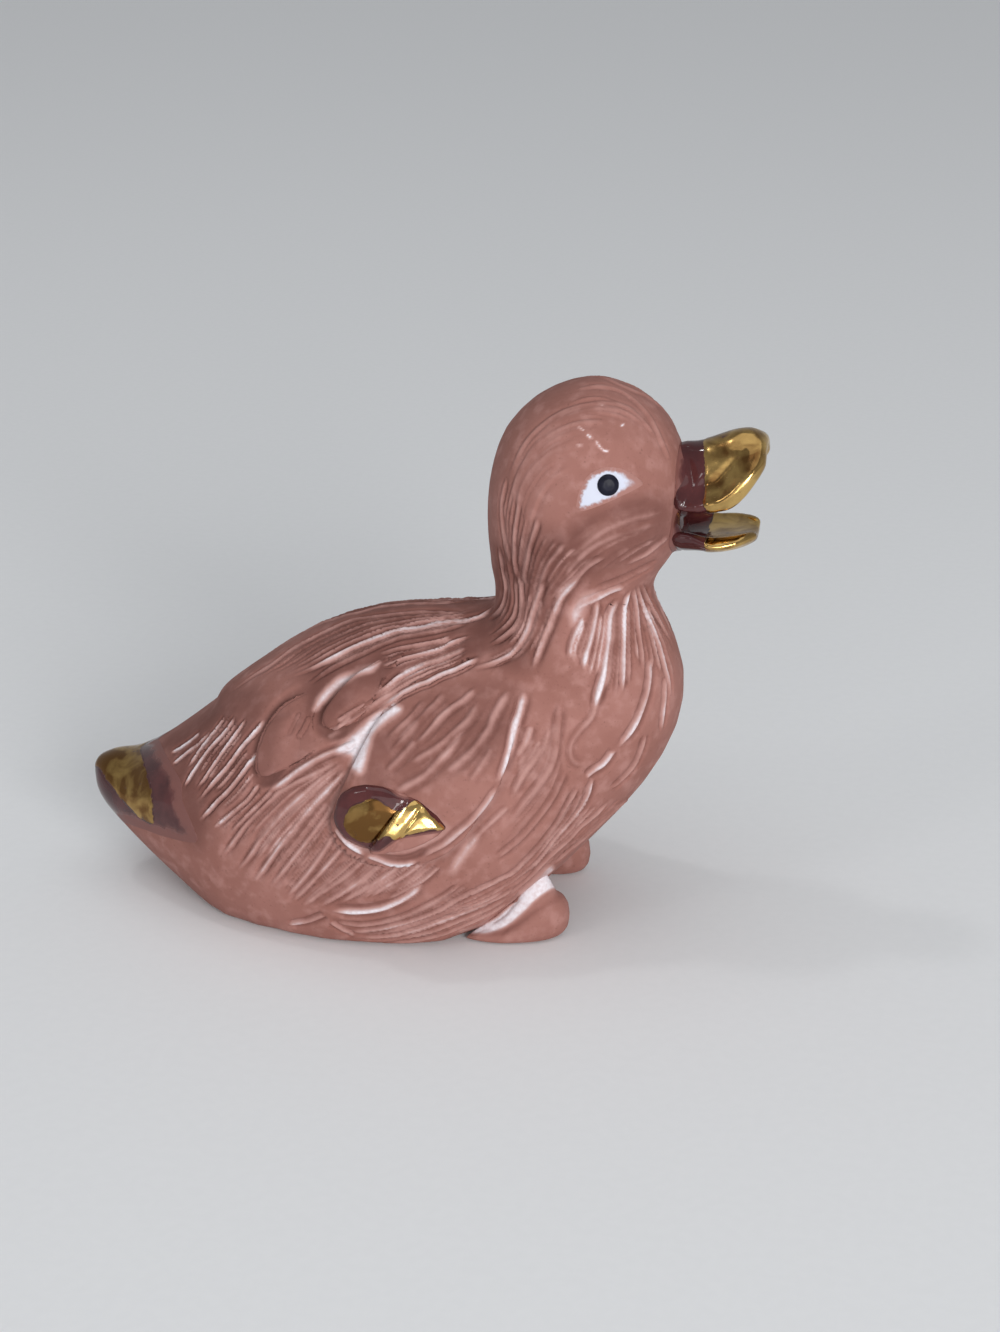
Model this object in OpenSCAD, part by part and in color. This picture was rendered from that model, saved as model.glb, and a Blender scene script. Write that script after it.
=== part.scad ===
// Terracotta duckling figurine, standing on its belly and two feet.
// X runs forward to the bill, Y to the duckling's left and Z up from the ground.
// The clay parts meet at luted seams, and glaze, gold, slip and pupils lie on them as thin fired layers.

/* [Trunk] */
// Length from the tail tip to the front of the breast
trunk_length = 59.2; // [50:0.2:72]
// Full width across the flanks, without the wings
trunk_width = 29.8; // [25:0.2:36]
// Height of the back where the nape rises from it
back_height = 30.4; // [26:0.2:36]

/* [Head] */
// Height of the crown above the ground
crown_height = 52.9; // [49:0.1:58]
// Head from nape to forehead
head_length = 18.4; // [16:0.2:22]
// Head from cheek to cheek
head_width = 19.2; // [16:0.2:23]
// Width of the neck at the throat seam
neck_width = 15.8; // [13:0.2:18]
// Rise from the back to the neck
neck_rise = 4; // [3:0.1:5]

/* [Bill] */
// Length of the upper bill in front of the face
upper_bill_length = 7; // [5:0.1:10]
// Width of the upper bill where it flares
upper_bill_width = 9.2; // [7:0.1:11]
// Height of the upper bill's arch over its rim
upper_bill_arch = 5.5; // [4:0.1:7]
// Length of the lower bill in front of the face
lower_bill_length = 6.6; // [4.5:0.1:9]
// Width of the lower bill's spoon
lower_bill_width = 8.4; // [6.5:0.1:10]
// Depth of the lower bill from rim to keel
lower_bill_depth = 2.2; // [1.6:0.1:3]
// Open height between the two bills at the face
mouth_height = 2.4; // [2:0.1:4]
// Clay wall of both bills
bill_wall = 0.9; // [0.7:0.05:1.2]

/* [Wings] */
// Wing lobe from shoulder to lower edge, in the side view
wing_length = 20; // [16:0.2:23]
// Wing lobe from front edge to rear edge, in the side view
wing_breadth = 18; // [14:0.2:20]
// Height of the wing lobe over the flank
wing_relief = 0.9; // [0.6:0.05:1.6]
// Length of the glazed wing tip
wing_tip_length = 10.2; // [7:0.1:12]
// Depth of the glazed wing tip in the side view
wing_tip_depth = 5.8; // [4:0.1:7]
// Height of the wing tip over the wing lobe
wing_tip_relief = 1; // [0.6:0.05:1.6]
// Length of each shoulder feather behind the wing
feather_length = 9.4; // [7:0.1:10.4]
// Height of the shoulder feathers over the flank
feather_relief = 0.5; // [0.3:0.05:0.9]

/* [Feet] */
// Length of the foot, with the heel that the belly cuts off
foot_length = 10.8; // [8:0.1:13]
// Width of the foot
foot_width = 5.6; // [4.4:0.1:7]
// Height of the web at the toes
foot_height = 4.2; // [3:0.1:5.5]
// Height of the web at the heel
foot_heel = 1.1; // [0.8:0.1:2]
// Distance of each foot's middle from the centre line
foot_offset = 7.6; // [6.8:0.1:9.4]

/* [Eyes] */
// Length of the white slip patch
eye_length = 5.8; // [4:0.1:7]
// Height of the white slip patch
eye_height = 3.2; // [2.4:0.1:4.2]
// Diameter of the pupil
pupil_d = 2; // [1.4:0.1:2.4]

/* [Fired layers] */
// Thickness of the maroon glaze
glaze_t = 0.2; // [0.1:0.05:0.3]
// Thickness of the gold over the glaze
gold_t = 0.1; // [0.05:0.05:0.2]
// Thickness of the white slip
slip_t = 0.12; // [0.06:0.02:0.2]
// Thickness of the pupil at its middle
pupil_t = 0.3; // [0.2:0.05:0.5]
// Seam left between a piece and what it is luted or painted on
seam = 0.08; // [0.06:0.01:0.12]

/* [Hidden] */

clay = "#A56E5F";
glaze = "#5A2E30";
gold = "#C9A24B";
white_slip = "#E0DCE4";
black = "#1A1A20";

// Points round each section of the skin, and rings from one line to the next on the tail and beyond it
around = 40;
tail_rings_per_line = 4;
rings_per_line = 2;

// Points along the outlines of the slabs
wing_points = 32;
feather_points = 24;
small_points = 20;

// Shares of a slab's size at which its rings lie
wing_steps = [0.2, 0.4, 0.58, 0.74, 0.88, 1];
feather_steps = [0.45, 0.88, 1];
dome_steps = [0.4, 0.72, 0.9, 1];
gold_steps = [0.35, 0.6, 0.78];
slip_steps = [0.5, 1];

// Steps over a bill's arch, rings along it and rings behind its gold
arch_steps = 10;
bill_rings = 6;
bill_gold_ring = 2;

// Rings along the tail's glaze, and how many of them the gold covers
tail_glaze_rings = 7;
tail_gold_rings = 6;

// Fore and aft places, with X = 0 half way between the tail tip and the bill tip
tail_x = -(trunk_length + upper_bill_length) / 2;
breast_x = tail_x + trunk_length;
head_x = breast_x - head_length / 2;
neck_z = back_height + neck_rise;
head_z = crown_height - neck_z;

// Lines of the trunk from the tail tip to the throat. Each row holds the place and height of the back,
// the place and height of the keel, the half breadth and the squareness of the lower half. Places are
// shares of the trunk's length, heights of the back's height and breadths of the trunk's half width.
// A keel below the ground is cut off flat there.
trunk_lines = [
  [0.015, 0.394, 0.01, 0.35, 0.06, 2],
  [0.042, 0.416, 0.024, 0.266, 0.185, 2],
  [0.095, 0.438, 0.08, 0.16, 0.355, 2.1],
  [0.181, 0.56, 0.172, 0.034, 0.602, 2.4],
  [0.284, 0.737, 0.272, -0.08, 0.82, 2.8],
  [0.394, 0.885, 0.394, -0.132, 0.953, 3.1],
  [0.502, 0.964, 0.519, -0.141, 1, 3.2],
  [0.6, 0.99, 0.647, -0.092, 1, 3],
  [0.664, 1, 0.767, 0.086, 0.953, 2.6],
  [0.693, 1.016, 0.868, 0.283, 0.846, 2.3],
  [0.698, 1.043, 0.946, 0.467, 0.738, 2.2],
  [0.698, 1.076, 0.992, 0.645, 0.651, 2.1],
  [0.696, 1.115, 1, 0.816, 0.591, 2]
];

// Lines of the neck and head from below the throat to the crown. Places are shares of half the head's
// length from its middle, heights are shares of the rise from the neck to the crown, and breadths are
// shares of half the neck's width in the first two rows and of half the head's width above them.
neck_rows = 2;
head_lines = [
  [-0.989, 0.032, 0.826, -0.27, 1.025, 2],
  [-1, 0.097, 0.663, -0.097, 1, 2],
  [-1.022, 0.216, 0.728, 0.032, 0.906, 2],
  [-1.022, 0.389, 0.924, 0.184, 0.979, 2],
  [-0.967, 0.573, 0.989, 0.389, 1, 2],
  [-0.837, 0.746, 0.967, 0.589, 0.938, 2],
  [-0.565, 0.892, 0.837, 0.757, 0.781, 2],
  [-0.25, 0.973, 0.565, 0.897, 0.49, 2],
  [-0.011, 1, 0.163, 0.989, 0.104, 2]
];

lines = concat(
  [for (r = trunk_lines) [
    tail_x + r[0] * trunk_length, r[1] * back_height,
    tail_x + r[2] * trunk_length, r[3] * back_height,
    r[4] * trunk_width / 2, r[5]]],
  [for (i = [0:len(head_lines) - 1])
    let (r = head_lines[i]) [
      head_x + r[0] * head_length / 2, neck_z + r[1] * head_z,
      head_x + r[2] * head_length / 2, neck_z + r[3] * head_z,
      r[4] * (i < neck_rows ? neck_width : head_width) / 2, r[5]]]);
crown_line = len(lines) - 1;
throat_line = len(trunk_lines) + 1;
rump_line = 4;

// Smooth curve through the rows of a list, at place u counted in rows
function curve(rows, u) =
  let (last = len(rows) - 1,
       i = min(floor(u), last - 1),
       f = u - i,
       b = rows[i],
       c = rows[i + 1],
       a = i > 0 ? rows[i - 1] : 2 * b - c,
       d = i + 2 <= last ? rows[i + 2] : 2 * c - b)
  b + f / 2 * ((c - a) + f * ((2 * a - 5 * b + 4 * c - d) + f * (3 * (b - c) + d - a)));

// Smooth closed outline through a few points, with n points along it
function loop(points, n) =
  let (m = len(points))
  [for (k = [0:n - 1])
    let (u = k * m / n, i = floor(u))
    curve([for (j = [-1:2]) points[(i + j + m) % m]], 1 + u - i)];

function unit(v) = v / norm(v);
function bend(s, power) = sign(s) * pow(abs(s), power);

// Point of the skin on line u at angle v, grown outward in its section by `out`
function skin(u, v, out = 0) =
  let (r = curve(lines, u),
       back = [r[0], r[1]],
       keel = [r[2], r[3]],
       up = out * unit(back - keel),
       power = 2 / (sin(v) < 0 ? r[5] : 2),
       p = (back + keel) / 2 + bend(sin(v), power) * ((back - keel) / 2 + up))
  [p[0], (r[4] + out) * bend(cos(v), power), max(0, p[1])];

// Halvings of a search along the skin, and the distance at which its slope is felt
halvings = 20;
probe = 0.05;

// Line whose section passes through a point of the side view
function line_at(x, z, low = 0, high = crown_line, steps = halvings) =
  let (u = (low + high) / 2, r = curve(lines, u))
  steps == 0 ? u
    : (r[0] - r[2]) * (z - r[3]) - (r[1] - r[3]) * (x - r[2]) < 0
      ? line_at(x, z, u, high, steps - 1)
      : line_at(x, z, low, u, steps - 1);

// Half breadth of the skin at a point of the side view, or -1 outside it
function half_breadth(x, z) =
  let (r = curve(lines, line_at(x, z)),
       back = [r[0] - r[2], r[1] - r[3]],
       h = 2 * (back * [x - r[2], z - r[3]]) / (back * back) - 1,
       power = h < 0 ? r[5] : 2)
  abs(h) >= 1 ? -1 : r[4] * pow(1 - pow(abs(h), power), 1 / power);

// Point above the left flank: a side-view point raised from the skin by `lift` along its normal
function on_flank(p, lift) =
  let (slope_x = half_breadth(p[0] + probe, p[1]) - half_breadth(p[0] - probe, p[1]),
       slope_z = half_breadth(p[0], p[1] + probe) - half_breadth(p[0], p[1] - probe))
  [p[0], half_breadth(p[0], p[1]), p[1]] + lift * unit([-slope_x, 2 * probe, -slope_z]);

// Front of the face at a breadth and height
function face_x(y, z, low = head_x, high = head_x + head_length, steps = halvings) =
  let (x = (low + high) / 2)
  steps == 0 ? x
    : half_breadth(x, z) > abs(y) ? face_x(y, z, x, high, steps - 1) : face_x(y, z, low, x, steps - 1);

// Height of the skin's underside at a point of the plan
function underside(x, y, low = 0, high = back_height / 3, steps = halvings) =
  let (z = (low + high) / 2)
  steps == 0 ? z
    : half_breadth(x, z) < abs(y) ? underside(x, y, z, high, steps - 1) : underside(x, y, low, z, steps - 1);

// Two triangles for the four corners of a patch
function patch(a, b, c, d) = [[a, b, c], [a, c, d]];

// Walls between rings of n points that start at index `first`, facing out, or in when `inward`
function walls(first, n, m, inward = false) =
  [for (k = [0:m - 2], i = [0:n - 1])
    let (j = (i + 1) % n, a = first + k * n, b = a + n)
    each inward ? patch(a + i, a + j, b + j, b + i) : patch(a + i, b + i, b + j, a + j)];

// Solid through rings that follow one another forward, each running anticlockwise from behind the ring
module loft(rings) {
  n = len(rings[0]);
  m = len(rings);
  polyhedron(
    [for (r = rings) each r],
    concat([[for (i = [0:n - 1]) i]], walls(0, n, m), [[for (i = [n - 1:-1:0]) (m - 1) * n + i]]));
}

// Slab laid on the left flank inside a side-view outline. `under` and `over` give the height of its
// two faces above the skin at each share of the outline's size.
module slab(centre, outline, steps, under, over) {
  n = len(outline);
  m = len(steps);
  half = 1 + n * m;
  layer = function (lift) concat(
    [on_flank(centre, lift(0))],
    [for (s = steps, p = outline) on_flank(centre + s * (p - centre), lift(s))]);
  face = function (top, i, j, k) top ? [i, j, k] : [k, j, i];
  polyhedron(
    concat(layer(under), layer(over)),
    [for (top = [false, true], i = [0:n - 1])
      let (base = top ? half : 0, j = (i + 1) % n)
      each concat(
        [face(top, base, base + 1 + i, base + 1 + j)],
        [for (k = [0:m - 2])
          let (a = base + 1 + k * n, b = a + n)
          each [face(top, a + i, b + i, b + j), face(top, a + i, b + j, a + j)]],
        top ? patch(half - n + i, half - n + j, 2 * half - n + j, 2 * half - n + i) : [])]);
}

module right() {
  mirror([0, 1, 0]) children();
}

// Trunk, breast and neck up to the throat seam
module body() {
  stations = concat(
    [for (k = [0:rump_line * tail_rings_per_line]) k / tail_rings_per_line],
    [for (k = [1:(throat_line - rump_line) * rings_per_line]) rump_line + k / rings_per_line]);
  color(clay)
    loft([for (u = stations) [for (i = [0:around - 1]) skin(u, i * 360 / around)]]);
}

// Head from the throat seam to the crown
module head() {
  seat = curve(lines, throat_line);
  up = seam * unit([seat[1] - seat[3], 0, seat[2] - seat[0]]);
  color(clay)
    loft([for (k = [0:(crown_line - throat_line) * rings_per_line])
      [for (i = [0:around - 1])
        skin(throat_line + k / rings_per_line, i * 360 / around) + (k == 0 ? up : [0, 0, 0])]]);
}

// Bill shapes from root to tip: half width, rim and crown, as shares of the bill's own sizes. The lower
// bill's rim lies at a share of the rise from the neck to the crown.
upper_bill_lines = [
  [0.89, 0, 0.95],
  [0.92, 0, 0.94],
  [0.97, 0.01, 1],
  [1, 0.04, 1.1],
  [1.02, 0.12, 1.19],
  [0.97, 0.38, 1.22],
  [0.66, 0.74, 1.1]
];
lower_bill_lines = [
  [0.95, 0, 0.98],
  [0.98, 0, 1],
  [1, -0.02, 1],
  [1, -0.06, 0.98],
  [0.96, -0.1, 0.9],
  [0.84, -0.06, 0.76],
  [0.5, 0.1, 0.56]
];
chin_share = 0.287;
lower_rim_z = neck_z + chin_share * head_z;
upper_rim_z = lower_rim_z + mouth_height;

// Most of a bill's half width or arch that its wall may take, and how far the upper bill's sides are dished
wall_share = 0.42;
upper_dish = 0.2;

// One bill, arched up for the upper and down for the lower: length, width, arch, rim height, lines and dish
upper = [1, upper_bill_length, upper_bill_width, upper_bill_arch, upper_rim_z, upper_bill_lines, upper_dish];
lower = [-1, lower_bill_length, lower_bill_width, lower_bill_depth, lower_rim_z, lower_bill_lines, 0];

// Crescent section of a bill at share t of its length, grown by `out` on all sides
function bill_ring(bill, t, out) =
  let (r = curve(bill[5], t * (len(bill[5]) - 1)),
       side = bill[0],
       w = r[0] * bill[2] / 2,
       rim = bill[4] + side * (r[1] * bill[3] - out),
       arch = (r[2] - r[1]) * bill[3],
       wall = min(bill_wall, wall_share * w, wall_share * arch),
       start = side > 0 ? 0 : 180,
       spread = function (v) cos(v) * (1 - bill[6] * pow(sin(2 * v), 2)),
       outer = [for (k = [0:arch_steps])
         let (v = start + 180 * k / arch_steps)
         [(w + out) * spread(v), rim + (arch + 2 * out) * sin(v)]],
       inner = [for (k = [arch_steps:-1:0])
         let (v = start + 180 * k / arch_steps)
         [(w - wall - out) * spread(v), rim + (arch - wall) * sin(v)]])
  concat(outer, inner);

// Ring of a bill in space: its foot follows the face, its end is square
function bill_points(bill, t, out) =
  let (root = bill_ring(bill, 0, out),
       tip = face_x(0, bill[4]) + bill[1] + out,
       section = bill_ring(bill, t, out))
  [for (i = [0:len(section) - 1])
    let (x = face_x(root[i][0], root[i][1]) + seam)
    [x + t * (tip - x), section[i][0], section[i][1]]];

// Faces that close a crescent ring, seen from behind it or, when `front`, from ahead of it
function crescent(first, front) =
  let (last = 2 * arch_steps + 1)
  [for (k = [0:arch_steps - 1])
    let (a = first + k, b = a + 1, c = first + last - k - 1, d = c + 1)
    each front ? patch(d, c, b, a) : patch(a, b, c, d)];

module bill(shape) {
  n = 2 * (arch_steps + 1);
  polyhedron(
    [for (k = [0:bill_rings]) each bill_points(shape, k / bill_rings, 0)],
    concat(crescent(0, false), walls(0, n, bill_rings + 1), crescent(bill_rings * n, true)));
}

// Layer over a bill from one of its rings to beyond its tip, between two growths
module bill_layer(shape, first, under, over) {
  n = 2 * (arch_steps + 1);
  m = bill_rings - first + 1;
  half = n * m;
  layer = function (out) [for (k = [first:bill_rings]) each bill_points(shape, k / bill_rings, out)];
  polyhedron(
    concat(layer(over), layer(under)),
    concat(
      walls(0, n, m),
      crescent(half - n, true),
      walls(half, n, m, true),
      crescent(2 * half - n, false),
      [for (i = [0:n - 1]) let (j = (i + 1) % n) each patch(i, j, half + j, half + i)]));
}

// Height of the gold's underside over the clay
gold_under = 2 * seam + glaze_t;

module upper_bill() {
  color(clay) bill(upper);
}

module lower_bill() {
  color(clay) bill(lower);
}

module upper_bill_glaze() {
  color(glaze) bill_layer(upper, 0, seam, seam + glaze_t);
}

module lower_bill_glaze() {
  color(glaze) bill_layer(lower, 0, seam, seam + glaze_t);
}

module upper_bill_gold() {
  color(gold) bill_layer(upper, bill_gold_ring, gold_under, gold_under + gold_t);
}

module lower_bill_gold() {
  color(gold) bill_layer(lower, bill_gold_ring, gold_under, gold_under + gold_t);
}

// Edge of the tail's glaze, in lines, on the flanks, and how far aft of that it lies on the back and keel
tail_edge = 3.2;
tail_back_dip = 0.8;
tail_keel_dip = 0.5;

// Layer over the tail from its tip along a number of the glaze's rings, between two growths
module tail_layer(count, under, over) {
  n = around;
  m = count + 1;
  half = n * m;
  layer = function (out) [for (k = [0:count], i = [0:n - 1])
    let (v = i * 360 / n, dip = sin(v) > 0 ? tail_back_dip : tail_keel_dip)
    skin((tail_edge - dip * pow(sin(v), 2)) * k / tail_glaze_rings, v, out) - [out, 0, 0]];
  polyhedron(
    concat(layer(over), layer(under)),
    concat(
      [[for (i = [0:n - 1]) i]],
      walls(0, n, m),
      [[for (i = [n - 1:-1:0]) half + i]],
      walls(half, n, m, true),
      [for (i = [0:n - 1])
        let (j = (i + 1) % n, a = half - n, b = 2 * half - n)
        each patch(a + j, a + i, b + i, b + j)]));
}

module tail_glaze() {
  color(glaze) tail_layer(tail_glaze_rings, seam, seam + glaze_t);
}

module tail_gold() {
  color(gold) tail_layer(tail_gold_rings, gold_under, gold_under + gold_t);
}

// Wing lobe in shares of half its breadth and half its length, from the shoulder round by the rear edge
wing_place = [0.63, 0.61];
wing_centre = [tail_x + wing_place[0] * trunk_length, wing_place[1] * back_height];
wing_shape = [
  [0.84, 1.06], [0.31, 0.96], [-0.18, 0.79], [-0.5, 0.56], [-0.66, 0.28],
  [-0.84, -0.09], [-0.99, -0.42], [-0.93, -0.72], [-0.6, -0.88], [-0.17, -0.88],
  [0.28, -0.67], [0.6, -0.28], [0.82, 0.09], [0.93, 0.48], [0.96, 0.81]
];

// Share of a slab's size where its top ends, and its edge as a share of its full height
slab_top = 0.9;
slab_edge = 0.45;
function plateau(under, height) =
  function (s) under + height * (s < slab_top ? 1 : slab_edge);

// Height of a dome at share s of its size, with a low wall at its rim
dome_rim = 0.3;
function dome(s) = dome_rim + (1 - dome_rim) * sqrt(1 - s * s);

module wing() {
  shape = [for (p = wing_shape)
    wing_centre + [p[0] * wing_breadth, p[1] * wing_length] / 2];
  color(clay)
    slab(wing_centre, loop(shape, wing_points), wing_steps,
         function (s) seam, plateau(seam, wing_relief));
}

// Wing tip: a teardrop at the lower end of the lobe, pointed forward and down
tip_place = [-0.18, -0.195];
tip_centre = wing_centre + [tip_place[0] * wing_breadth, tip_place[1] * wing_length];
tip_shape = [
  [1, -0.1], [0.62, 0.55], [0.2, 0.92], [-0.4, 1], [-0.82, 0.7],
  [-1, 0.05], [-0.8, -0.72], [-0.3, -1], [0.25, -0.9], [0.7, -0.6]
];

function tip_outline() =
  loop([for (p = tip_shape) tip_centre + [p[0] * wing_tip_length, p[1] * wing_tip_depth] / 2], small_points);

// Height of the wing tip's dome over the skin
tip_seat = 2 * seam + wing_relief;
function tip_dome(extra) =
  function (s) tip_seat + extra + wing_tip_relief * dome(s);

module wing_tip() {
  color(clay)
    slab(tip_centre, tip_outline(), dome_steps, function (s) tip_seat, tip_dome(0));
}

module wing_tip_glaze() {
  color(glaze)
    slab(tip_centre, tip_outline(), dome_steps, tip_dome(seam), tip_dome(seam + glaze_t));
}

module wing_tip_gold() {
  color(gold)
    slab(tip_centre, tip_outline(), gold_steps, tip_dome(gold_under), tip_dome(gold_under + gold_t));
}

// Two shoulder feathers behind the wing, in shares of their length from their own middle
feather_place = [-0.42, 0.31];
feather_step = [-0.69, -0.42];
front_feather_centre = wing_centre + [feather_place[0] * wing_breadth, feather_place[1] * wing_length];
rear_feather_centre = front_feather_centre + feather_step * feather_length;
front_feather_shape = [
  [0.36, 0.34], [0.12, 0.28], [-0.12, 0.12], [-0.34, -0.12], [-0.4, -0.28],
  [-0.26, -0.34], [0, -0.22], [0.12, -0.04], [0.24, 0.16]
];
rear_feather_shape = [
  [0.3, 0.42], [0.02, 0.32], [-0.24, 0.1], [-0.38, -0.22], [-0.32, -0.46],
  [-0.02, -0.32], [0.28, -0.1], [0.22, 0.16]
];

module feather(centre, shape) {
  color(clay)
    slab(centre, loop([for (p = shape) centre + p * feather_length], feather_points), feather_steps,
         function (s) seam, plateau(seam, feather_relief));
}

// Foot: a web that thickens from the heel to the turned-in toes, below a short leg that meets the belly
foot_rings = 6;
foot_points = 28;
foot_place = 0.77;
foot_turn = 14;
toe_share = 0.38;
heel_t = 0.4;
foot_middle = [tail_x + foot_place * trunk_length, foot_offset];

// Place where the underside of the belly leaves room for the heel at a breadth
function heel_x(y, x = 0, step = 4, n = 10) =
  n == 0 ? x
    : underside(x + step, y) < heel_t ? heel_x(y, x + step, step, n) : heel_x(y, x, step / 2, n - 1);

function foot_outline() =
  [for (i = [0:foot_points - 1])
    let (v = i * 360 / foot_points,
         along = cos(v) * foot_length * (cos(v) > 0 ? toe_share : 1 - toe_share),
         across = sin(v) * foot_width / 2,
         x = foot_middle[0] + along * cos(foot_turn) + across * sin(foot_turn),
         y = foot_middle[1] - along * sin(foot_turn) + across * cos(foot_turn))
    [max(x, heel_x(y)), y]];

// Height of the web from its thin heel to its toes, and of the leg at share s of the foot's outline
web_back = 0.23;
web_run = 0.48;
leg_share = 0.75;
leg_slope = 0.45;
function ease(t) = let (u = min(max(t, 0), 1)) u * u * (3 - 2 * u);
function web(p) =
  foot_heel + (foot_height - foot_heel)
    * ease((p[0] - foot_middle[0] + web_back * foot_length) / (web_run * foot_length));
function leg(s) = foot_height * ease((leg_share - s) / leg_slope);

// Highest and lowest point of the foot, rounded out to its edge
edge_share = 0.5;
sole_share = 0.85;
function rounding(s) = sqrt(1 - pow(s, 8));
function foot_top(p, s) =
  min(web(p) * (edge_share + (1 - edge_share) * rounding(s)) + leg(s), underside(p[0], p[1]) - seam);
function foot_sole(p, s) = sole_share * min(edge_share * web(p) * (1 - rounding(s)), foot_top(p, s));

module foot() {
  n = foot_points;
  m = foot_rings;
  half = 1 + n * m;
  outline = foot_outline();
  layer = function (height) concat(
    [[each foot_middle, height(foot_middle, 0)]],
    [for (k = [1:m], edge = outline)
      let (s = sin(k / m * 90), p = foot_middle + s * (edge - foot_middle))
      [each p, height(p, s)]]);
  face = function (up, i, j, k) up ? [k, j, i] : [i, j, k];
  color(clay)
    polyhedron(
      concat(layer(function (p, s) foot_sole(p, s)), layer(function (p, s) foot_top(p, s))),
      [for (up = [false, true], i = [0:n - 1])
        let (base = up ? half : 0, j = (i + 1) % n)
        each concat(
          [face(up, base, base + 1 + i, base + 1 + j)],
          [for (k = [0:m - 2])
            let (a = base + 1 + k * n, b = a + n)
            each [face(up, a + i, b + i, b + j), face(up, a + i, b + j, a + j)]],
          up ? patch(half - n + j, half - n + i, 2 * half - n + i, 2 * half - n + j) : [])]);
}

// Eye: a slanting almond of slip with a domed pupil on it
eye_place = [0.145, 0.61];
eye_centre = [head_x + eye_place[0] * head_length, neck_z + eye_place[1] * head_z];
eye_slant = 28;
eye_shape = [
  [1, 0.05], [0.55, 0.6], [0.05, 1], [-0.45, 0.8], [-1, -0.1], [-0.5, -0.85], [0.05, -1], [0.6, -0.65]
];

function eye_outline() =
  loop([for (p = eye_shape)
    let (q = [p[0] * eye_length, p[1] * eye_height] / 2)
    eye_centre + [q[0] * cos(eye_slant) - q[1] * sin(eye_slant),
                  q[0] * sin(eye_slant) + q[1] * cos(eye_slant)]], small_points);

module eye_white() {
  color(white_slip)
    slab(eye_centre, eye_outline(), slip_steps, function (s) seam, function (s) seam + slip_t);
}

module pupil() {
  n = small_points;
  ring = [for (i = [0:n - 1]) eye_centre + pupil_d / 2 * [cos(i * 360 / n), sin(i * 360 / n)]];
  seat = 2 * seam + slip_t;
  color(black)
    slab(eye_centre, ring, dome_steps, function (s) seat, function (s) seat + pupil_t * dome(s));
}

body();
head();
upper_bill();
lower_bill();
upper_bill_glaze();
lower_bill_glaze();
upper_bill_gold();
lower_bill_gold();
tail_glaze();
tail_gold();
wing();  // left_wing
right() wing();  // right_wing
wing_tip();  // left_wing_tip
right() wing_tip();  // right_wing_tip
wing_tip_glaze();  // left_wing_tip_glaze
right() wing_tip_glaze();  // right_wing_tip_glaze
wing_tip_gold();  // left_wing_tip_gold
right() wing_tip_gold();  // right_wing_tip_gold
feather(front_feather_centre, front_feather_shape);  // left_front_feather
right() feather(front_feather_centre, front_feather_shape);  // right_front_feather
feather(rear_feather_centre, rear_feather_shape);  // left_rear_feather
right() feather(rear_feather_centre, rear_feather_shape);  // right_rear_feather
foot();  // left_foot
right() foot();  // right_foot
eye_white();  // left_eye_white
right() eye_white();  // right_eye_white
pupil();  // left_pupil
right() pupil();  // right_pupil
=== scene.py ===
# %% [markdown]
# # A terracotta duckling
# The figurine is a palm-sized bird of unglazed red clay. Feather lines are carved into it and rubbed with
# white wash, and the bill, the tail and the wing tips are glazed maroon and gilded. This lesson dresses the
# measured solids: each clay part becomes a soft, carved mesh, and each fired layer a thin film cut from it.

import math
import random

import bmesh
import bpy
import numpy as np
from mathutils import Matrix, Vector
from mathutils.bvhtree import BVHTree
from mathutils.kdtree import KDTree


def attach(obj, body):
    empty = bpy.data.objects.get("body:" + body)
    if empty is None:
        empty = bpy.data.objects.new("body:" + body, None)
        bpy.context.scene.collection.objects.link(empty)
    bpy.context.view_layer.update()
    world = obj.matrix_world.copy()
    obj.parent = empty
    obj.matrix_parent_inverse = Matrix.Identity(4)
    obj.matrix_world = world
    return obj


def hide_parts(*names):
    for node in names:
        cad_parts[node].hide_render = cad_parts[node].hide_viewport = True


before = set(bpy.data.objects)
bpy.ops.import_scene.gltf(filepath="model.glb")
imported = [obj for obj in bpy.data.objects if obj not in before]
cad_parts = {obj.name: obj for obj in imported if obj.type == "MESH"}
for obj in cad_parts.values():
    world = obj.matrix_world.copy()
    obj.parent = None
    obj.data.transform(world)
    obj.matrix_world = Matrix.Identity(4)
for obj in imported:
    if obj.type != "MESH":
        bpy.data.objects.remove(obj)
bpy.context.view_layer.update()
MM = 0.001
random.seed(7)

# %% [markdown]
# ## The camera
# The reference picture was taken by hand, a little above the bird and a little in front of its wing. The
# camera repeats that: its place, tilt, turn and focal length are set and nothing is shifted, so any pixel
# of the 1000 by 1332 picture can be followed out along a straight ray.

# %% Camera
PICTURE = (1000, 1332)
FOCAL_PIXELS = 2470
SENSOR = 36
EYE = Vector((46.8, -217.2, 109)) * MM
TILT_DOWN = math.radians(21)
TURN_LEFT = math.radians(10)

bpy.ops.object.camera_add(location=EYE, rotation=(math.pi / 2 - TILT_DOWN, 0, TURN_LEFT))
camera = bpy.context.object
camera.data.sensor_width = SENSOR
camera.data.lens = FOCAL_PIXELS / PICTURE[1] * SENSOR
camera.data.clip_start = 0.01
bpy.context.scene.camera = camera
bpy.context.view_layer.update()
print("lens:", round(camera.data.lens, 1), "mm")


# %% From pixels to rays and back
def ray_through(pixel):
    """Direction of the ray that leaves the camera through a pixel of the picture."""
    across = (pixel[0] - PICTURE[0] / 2) / FOCAL_PIXELS
    up = (PICTURE[1] / 2 - pixel[1]) / FOCAL_PIXELS
    return (camera.matrix_world.to_3x3() @ Vector((across, up, -1))).normalized()


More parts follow.
